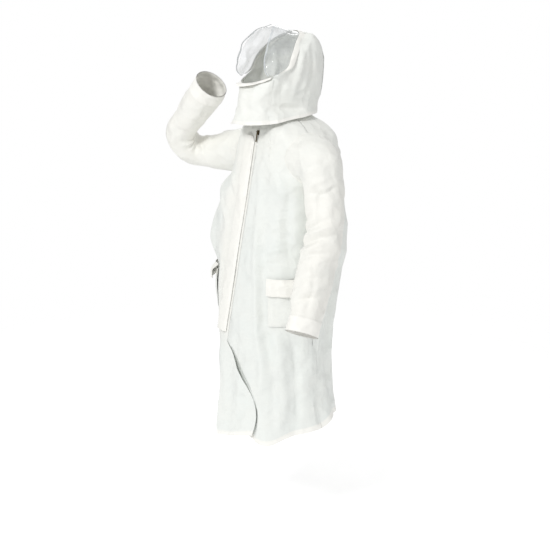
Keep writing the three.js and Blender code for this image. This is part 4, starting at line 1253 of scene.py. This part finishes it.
def make_sleeves():
    """Both sleeves: the wearer's left hangs, and their right is raised and bent."""
    slant = np.array([0.85, 0, -0.53])
    make_sleeve(
        "left", 1, LEFT_RINGS, LEFT_FOLDS, 61, 0.43, 190, 0.0,
        (slant * 275, slant * 330), ((284, -34, -300), (302, -64, -385)),
    )
    start = ELBOW_CENTRE + ELBOW_BEND * (ELBOW_OUT * math.cos(ELBOW_TURN) - ELBOW_ON * math.sin(ELBOW_TURN))
    end = ELBOW_CENTRE + ELBOW_BEND * (ELBOW_OUT * math.cos(ELBOW_TURN) + ELBOW_ON * math.sin(ELBOW_TURN))
    make_sleeve(
        "right", -1, right_rings(), RIGHT_FOLDS, 71, 0.27, 200, 0.0, ((-200, 0, 0), (-268, 0, 0)), (start, end),
    )


# ---------------------------------------------------------------- hood
def hood_point(theta, level):
    """x = w sgn(s)|s|^(2/n), y = m - d sgn(c)|c|^(2/n) for the hood's half-width and depths at that level; its hem is
    lower in front than at the nape."""
    s, c = np.sin(theta), np.cos(theta)
    width = np.maximum(column(HOOD, 1, level), 0)
    middle = np.interp(level, [-40, 100, 256], [0, 0, 14])
    depth = np.maximum(np.where(c > 0, middle - column(HOOD, 2, level), column(HOOD, 3, level) - middle), 0)
    x = width * signed_power(s, 2 / HOOD_POWER)
    y = middle - depth * signed_power(c, 2 / HOOD_POWER)
    low = 1 - smooth(level, -6, 60)
    return np.stack(np.broadcast_arrays(x, y, level + 0.06 * y * low), -1)


def hem_level(theta):
    """The level of the hood's hem at an angle from the front, the same on both sides."""
    degrees = np.degrees(np.abs(np.mod(theta + math.pi, 2 * math.pi) - math.pi))
    return curve_through(HOOD_HEM[:, 0], HOOD_HEM[:, 1], degrees)


def hood_angle(x, level):
    """The angle at which the hood's front passes through x, and a quarter turn where it is narrower."""
    width = np.maximum(column(HOOD, 1, level), 1e-3)
    return np.arcsin(np.clip(np.abs(x) / width, 0, 1) ** (HOOD_POWER / 2))


def opening_angle(level):
    """The angle from the front at which the hood's edge lies, by halving."""
    edge = np.interp(level, OPENING[:, 1], OPENING[:, 0], left=-999)
    low, high = np.zeros(np.shape(level)), np.full(np.shape(level), math.pi)
    for _ in range(30):
        middle = (low + high) / 2
        y = hood_point(middle, level)[..., 1]
        low = np.where(y < edge, middle, low)
        high = np.where(y < edge, high, middle)
    return np.where(level < OPENING[0, 1], 0.0, (low + high) / 2)


# Folds of the hood: a path of (degrees from the front, level), a width and a height.
HOOD_FOLDS = [
    ([(62, 172), (56, 140), (48, 96), (42, 60)], 12, 6),
    ([(70, 150), (66, 110), (62, 70), (60, 36)], 13, -6),
    ([(84, 215), (86, 160), (84, 110), (80, 60)], 12, 7),
    ([(100, 220), (104, 160), (103, 110), (98, 60)], 10, -6),
    ([(120, 225), (124, 170), (122, 110), (118, 60)], 16, 5),
    ([(30, 60), (52, 34), (80, 24), (104, 22)], 10, -6),
    ([(24, 44), (48, 18), (76, 6), (100, 6)], 12, 7),
    ([(-62, 172), (-58, 140), (-50, 96), (-42, 60)], 12, 6),
    ([(-84, 215), (-88, 160), (-85, 110), (-80, 60)], 12, 7),
    ([(-102, 220), (-105, 160), (-103, 110), (-98, 60)], 10, -6),
    ([(-30, 60), (-52, 34), (-80, 24), (-104, 22)], 10, -6),
    ([(-24, 40), (-48, 16), (-76, 6), (-100, 6)], 12, 6),
    ([(150, 40), (180, 34), (210, 40)], 10, -6),
    ([(140, 70), (170, 60), (215, 68)], 11, 5),
    ([(-14, 84), (2, 60), (10, 20)], 14, 3),
    ([(20, 84), (16, 50), (24, 10)], 12, -3),
]


def hood_relief(points):
    """Height of the hood's folds and crumple, with a fine welt along each seam."""
    total = np.zeros(points.shape[:-1])
    for path, width, height in HOOD_FOLDS:
        degrees, level = np.array(path, float).T
        knots, fine = np.linspace(0, 1, len(path)), np.linspace(0, 1, 12)
        line = hood_point(np.radians(curve_through(knots, degrees, fine)), curve_through(knots, level, fine))
        total += ridge(points, line, width, height)
    total += crumple(points, 81, 90, 48, 2.4)
    total += crumple(points, 82, 150, 26, 1.1)
    x, y, z = np.moveaxis(points, -1, 0)
    edge_y = np.interp(z, OPENING[:, 1], OPENING[:, 0], left=-999)
    total *= 0.15 + 0.85 * smooth(y - edge_y, 2, 34)
    return total


def seam_welt(x, y):
    """The seam allowance beside the centre strip and the guard shows as a low, narrow band."""
    strip = np.exp(-(((np.abs(x) - HOOD_STRIP_HALF - 4) / 3.5) ** 2)) * (y > -20)
    beside = (np.abs(np.arctan2(x, -y)) - GUARD_ANGLE) * np.hypot(x, y)
    guard = np.exp(-(((beside - 4) / 3.5) ** 2)) * (y < -40)
    return 0.9 * (strip + guard)


def make_hood():
    """The hood's two side panels and its centre strip, which meet along the lines where x is the strip's half."""
    rows = 140
    share = (np.linspace(0, 1, rows) ** 1.5)[:, None]
    top = 252.0

    def edges(level):
        start = np.minimum(np.maximum(opening_angle(level), GUARD_ANGLE * (level < OPENING[2, 1] + 4)), math.pi)
        return start, np.clip(math.pi - hood_angle(HOOD_STRIP_HALF, level), start, math.pi)

    def left_side(level):
        return edges(level)

    def right_side(level):
        start, behind = edges(level)
        return 2 * math.pi - behind, 2 * math.pi - start

    def centre(level):
        _, behind = edges(level)
        return behind, 2 * math.pi - behind

    pieces = {
        "hood_side_left": (left_side, 100), "hood_side_right": (right_side, 100), "hood_centre_strip": (centre, 60),
    }
    for name, (angles, columns) in pieces.items():
        u = np.linspace(0, 1, columns)[None]
        level = np.repeat(top - (top + 10) * share, columns, 1)
        for _ in range(3):
            low, high = angles(level)
            theta = low + (high - low) * u
            level = top + (hem_level(theta) - top) * share
        base = hood_point(theta, level)
        middle = base + np.array([0, 0, 1e-4]) * u[..., None]
        out = unit(np.stack([
            base[..., 0], base[..., 1] * 1.0, np.maximum(base[..., 2] - 120, -40) * smooth(base[..., 2], 120, 250),
        ], -1))
        relief = hood_relief(base) + seam_welt(base[..., 0], base[..., 1]) * (name != "hood_centre_strip")
        points = middle + out * relief[..., None]
        wide = (high - low).max(axis=1) > 0.004
        keep = np.repeat((wide[:-1] & wide[1:])[:, None], columns - 1, 1)
        tone = 0.5 + 0.0 * theta
        near_edge = smooth(level - hem_level(theta), 11, 9) * 0.8
        piece = sheet(name, points[:, ::-1], keep=keep, tone=tone, layers=near_edge[:, ::-1])
        dress(piece, "hood", "coat_sheet", [name])
        declare_cloth(points[wide])


def guard_levels(theta):
    """The level of the guard's upper edge at each angle: where the hood passes through the opening's line."""
    level = np.full(np.shape(theta), OPENING[0, 1])
    for _ in range(12):
        y = hood_point(theta, level)[..., 1]
        level = np.interp(y, OPENING[:, 0], OPENING[:, 1]) - 1
    return level


def guard_grid(theta, share, lift=0.0, depth=None):
    """The guard from its upper edge down, or a band of some depth below that edge, lifted outwards. Its last few
    millimetres at each side slip in under the side panels."""
    top = guard_levels(theta)
    level = top + ((hem_level(theta) - top) if depth is None else -depth) * share
    base = hood_point(theta, level)
    out = unit(np.stack([base[..., 0] * 0.8, base[..., 1], 0 * base[..., 2]], -1))
    under = 1.6 * smooth(np.abs(theta), GUARD_ANGLE - 0.01, GUARD_ANGLE + 0.03)
    return base + out * (hood_relief(base) * smooth(share * 1.0, 0.0, 0.12) + lift - under)[..., None]


def make_guard():
    """The guard over mouth and neck, which runs on down as a bib, with its doubled upper edge."""
    theta = np.linspace(-GUARD_ANGLE - 0.06, GUARD_ANGLE + 0.06, 110)[None]
    share = np.linspace(0, 1, 84)[:, None]
    points = guard_grid(*np.broadcast_arrays(theta, share))
    low = 1 - share
    layers = np.maximum(smooth(low, 0.10, 0.085) * 0.8, 0) * np.ones_like(theta)
    guard = sheet("face_guard", points, tone=0.55, layers=layers)
    dress(guard, "hood", "coat_sheet", ["face_guard"])
    declare_cloth(points)
    band = guard_grid(*np.broadcast_arrays(theta * 0.93, np.linspace(0, 1, 8)[:, None]), lift=1.4, depth=9.0)
    hem = sheet("guard_hem", band, 0.9, tone=1.0, layers=1.0)
    dress(hem, "hood", "turned_hem", ["guard_hem"])
    out = -grid_normals(band)
    rows = [(band[-2, 1:-1], -out[-2, 1:-1])]
    dress(stitch_rows("guard_stitches", rows), "hood", "turned_hem", material="thread")


# ---------------------------------------------------------------- visor
def head_curve(half, grow, count):
    """A line over the head through the points of the wearer's left half and their mirror, grown from its centre."""
    centre = np.array([0.0, 0.0, 120.0])
    away = half - centre
    size = np.linalg.norm(away, axis=-1, keepdims=True)
    moved = centre + away * (size + grow) / size
    mirrored = moved[:0:-1] * [-1, 1, 1]
    points = np.concatenate([mirrored, moved])
    knots = arc_lengths(points)
    return curve_through(knots / knots[-1], points, np.linspace(0, 1, count))


def visor_grid(start, end, lift, rows, columns):
    """Straight lines from the hood's edge to the film's free edge, between two shares of the way."""
    near, far = head_curve(EDGE_LEFT, lift, columns), head_curve(FREE_LEFT, lift, columns)
    share = np.linspace(start, end, rows)[:, None, None]
    return near[None] * (1 - share) + far[None] * share


def visor_relief(points, share):
    """The film's buckles: long ones from edge to edge and sharp small ones, calm at the binding."""
    total = crumple(points, 91, 70, 38, 6.0)
    total += crumple(points, 92, 200, 17, 3.0)
    x = points[..., 0]
    total += 2.4 * np.sin(x / 13.0 + 1.5) * np.sin(x / 31.0)
    return total * smooth(share, 0.06, 0.35) * (1 - 0.75 * smooth(share, 0.75, 1.0))


def make_visor():
    """The clear film from the hood's edge, its thicker free edge, and the binding that joins it to the hood."""
    specs = (
        ("visor_film", 0.02, 0.94, 1.6, 60, 200, 0.5, "clear_film", "clear_film"),
        ("visor_edge_hem", 0.935, 1.0, 1.4, 8, 200, 1.0, "clear_film", "film_edge"),
        ("visor_binding", -0.09, 0.10, 4.2, 12, 200, 1.0, "turned_hem", "turned_hem"),
    )
    for name, start, end, lift, rows, columns, thickness, slot, material in specs:
        base = visor_grid(start, end, lift, rows, columns)
        share = np.linspace(start, end, rows)[:, None] * np.ones((1, columns))
        out = grid_normals(base)
        outward = np.sign((out * (base - [0, 0, 120])).sum(-1).mean())
        out = out * outward
        points = base + out * visor_relief(base, share)[..., None]
        if name == "visor_binding":
            turn = np.sin(np.pi * np.linspace(0, 1, rows))[:, None, None]
            points = base + out * turn * 1.3
        grid = points if outward > 0 else points[:, ::-1]
        piece = sheet(name, grid, thickness, tone=1.0, layers=1.0)
        dress(piece, "hood", slot, [name], material=material)
        if name == "visor_film":
            declare_cloth(grid)


# ---------------------------------------------------------------- stage
def make_stage():
    """A pale floor where the wearer stands, soft light from both sides and above, and the camera."""
    sizes = bpy.context.scene.coat_sizes
    floor_z = -sizes.neck_height
    angle = np.linspace(0, 2 * np.pi, 96, endpoint=False)
    ring = np.stack([np.cos(angle) * 12000, np.sin(angle) * 12000, np.full(96, floor_z / MM)], -1)
    mesh = bpy.data.meshes.new("floor")
    mesh.from_pydata((ring * MM).tolist(), [], [list(range(96))])
    floor = bpy.data.objects.new("floor", mesh)
    bpy.context.scene.collection.objects.link(floor)
    paper = Finish("floor_paper", Roughness=0.9, Emission_Color=(1.0, 1.0, 1.0, 1.0), Emission_Strength=0.34)
    where = paper.node("TexCoord").outputs["Object"]
    grain = paper.noise(where, 8.0, 3.0)
    reach = paper.number(paper.node("VectorMath", {"operation": "LENGTH"}, Vector=where).outputs["Value"])
    mesh.materials.append(paper.finish(
        Base_Color=paper.mix(grain, (0.90, 0.90, 0.90, 1), (0.93, 0.93, 0.93, 1)),
        Alpha=(reach * -0.6 + 1.9).clip(),
    ))
    make_lights()
    make_camera()


def make_lights():
    """A large key light beside the camera, a fill on the other side and one behind, in a white room."""
    world = bpy.data.worlds.new("white_room")
    world.use_nodes = True
    tree = world.node_tree
    sky = tree.nodes["Background"]
    sky.inputs["Color"].default_value = (1.0, 1.0, 1.0, 1.0)
    seen = tree.nodes.new("ShaderNodeLightPath").outputs["Is Camera Ray"]
    strength = Wire(tree, seen) * 0.40 + 0.60
    tree.links.new(strength.socket, sky.inputs["Strength"])
    bpy.context.scene.world = world
    for name, place, size, power in (
        ("key", (1.2, -3.2, 1.9), 1.0, 72),
        ("fill", (3.4, 1.2, 0.9), 2.2, 14),
        ("rim", (-2.6, 1.6, 1.6), 1.8, 20),
    ):
        light = bpy.data.lights.new(name, "AREA")
        light.energy, light.size, light.shape = power, size, "DISK"
        lamp = bpy.data.objects.new(name, light)
        lamp.location = place
        aim = np.array([0, 0, -0.45]) - np.array(place)
        flat = math.hypot(aim[0], aim[1])
        lamp.rotation_euler = (math.pi / 2 + math.atan2(aim[2], flat), 0, math.atan2(-aim[0], aim[1]))
        bpy.context.scene.collection.objects.link(lamp)


def make_camera():
    """A camera at breast height, in front and to the wearer's left, that looks a little down."""
    sizes = bpy.context.scene.coat_sizes
    lens = bpy.data.cameras.new("camera")
    lens.sensor_width = 36
    lens.lens = 61.07
    lens.shift_x = -0.01455
    camera = bpy.data.objects.new("camera", lens)
    turn = sizes.view_turn
    camera.location = (sizes.view_distance * math.sin(turn), -sizes.view_distance * math.cos(turn), 0.15)
    camera.rotation_euler = (math.radians(77.4), 0, turn)
    bpy.context.scene.collection.objects.link(camera)
    bpy.context.scene.camera = camera
    bpy.context.scene.view_settings.view_transform = "Standard"


# ---------------------------------------------------------------- add-on
class CoatSizes(bpy.types.PropertyGroup):
    """Sizes of the set-up round the coat."""

    neck_height: bpy.props.FloatProperty(
        name="Neck height", description="Height of the neck opening above the floor", default=1.35, unit="LENGTH"
    )
    view_turn: bpy.props.FloatProperty(
        name="View turn", description="How far the camera stands round to the wearer's left",
        default=math.radians(57), subtype="ANGLE",
    )
    view_distance: bpy.props.FloatProperty(
        name="View distance", description="From the coat's axis to the camera", default=3.0, unit="LENGTH"
    )


def colour_property(name, description, default):
    return bpy.props.FloatVectorProperty(
        name=name, description=description, default=default, size=3, min=0, max=1, subtype="COLOR"
    )


class CoatColours(bpy.types.PropertyGroup):
    """Colours of the coat's finishes."""

    # The single layer's colour is partly its own and partly painted shade: the greenish grey of cloth in shade.
    cool: colour_property("Single layer", "Cloth where one layer hangs free", (0.80, 0.835, 0.81))
    warm: colour_property("Dense layer", "Cloth where it is dense", (0.90, 0.89, 0.84))
    folded: colour_property("Folded layers", "Hems, placket and flaps", (0.94, 0.93, 0.885))
    film: colour_property("Film", "Tint of the clear film", (0.80, 0.84, 0.86))
    metal: colour_property("Rubbed metal", "Slider and puller where they are rubbed", (0.33, 0.25, 0.13))
    metal_dark: colour_property("Dark metal", "Slider and puller in their hollows", (0.06, 0.045, 0.03))


class CoatOperator(bpy.types.Operator):
    """Shared part of the coat's operators: each runs one making function."""

    bl_options = {"REGISTER", "UNDO"}

    def execute(self, context):
        type(self).make()
        return {"FINISHED"}


def operator(identity, label, words, maker):
    """An operator class for one making function."""
    return type(
        "COAT_OT_" + identity, (CoatOperator,),
        {"bl_idname": "coat." + identity, "bl_label": label, "__doc__": words, "make": staticmethod(maker)},
    )


OPERATORS = [
    operator("stage", "Stage", "Floor, light and camera", make_stage),
    operator("body", "Body", "Front and back panels with their hem", make_body),
    operator("neck", "Neck", "Stand collar and its seam band", make_neck),
    operator("placket", "Placket", "Storm placket over the zip", make_placket),
    operator("zip", "Zip", "Coils, tapes, stops and slider", make_zip),
    operator("pockets", "Pockets", "Patch pockets and their flaps", make_pockets),
    operator("sleeves", "Sleeves", "Both sleeves and their cuffs", make_sleeves),
    operator("hood", "Hood", "Side panels and centre strip", make_hood),
    operator("guard", "Guard", "Guard over mouth and neck", make_guard),
    operator("visor", "Visor", "Clear film with its binding and free edge", make_visor),
]


class COAT_PT_panel(bpy.types.Panel):
    """The coat's panel in the 3D view's sidebar."""

    bl_label = "Coat"
    bl_space_type = "VIEW_3D"
    bl_region_type = "UI"
    bl_category = "Coat"

    def draw(self, context):
        for group in (context.scene.coat_sizes, context.scene.coat_colours):
            for key in group.bl_rna.properties.keys():
                if key not in ("rna_type", "name"):
                    self.layout.prop(group, key)
        for made in OPERATORS:
            self.layout.operator(made.bl_idname)


CLASSES = [CoatSizes, CoatColours, *OPERATORS, COAT_PT_panel]


def register():
    for made in CLASSES:
        bpy.utils.register_class(made)
    bpy.types.Scene.coat_sizes = bpy.props.PointerProperty(type=CoatSizes)
    bpy.types.Scene.coat_colours = bpy.props.PointerProperty(type=CoatColours)


def unregister():
    del bpy.types.Scene.coat_colours
    del bpy.types.Scene.coat_sizes
    for made in reversed(CLASSES):
        bpy.utils.unregister_class(made)


def main():
    """Registers the classes, makes every piece and writes the two boxes."""
    register()
    for made in OPERATORS:
        group, name = made.bl_idname.split(".")
        getattr(getattr(bpy.ops, group), name)()


if __name__ == "__main__":
    main()
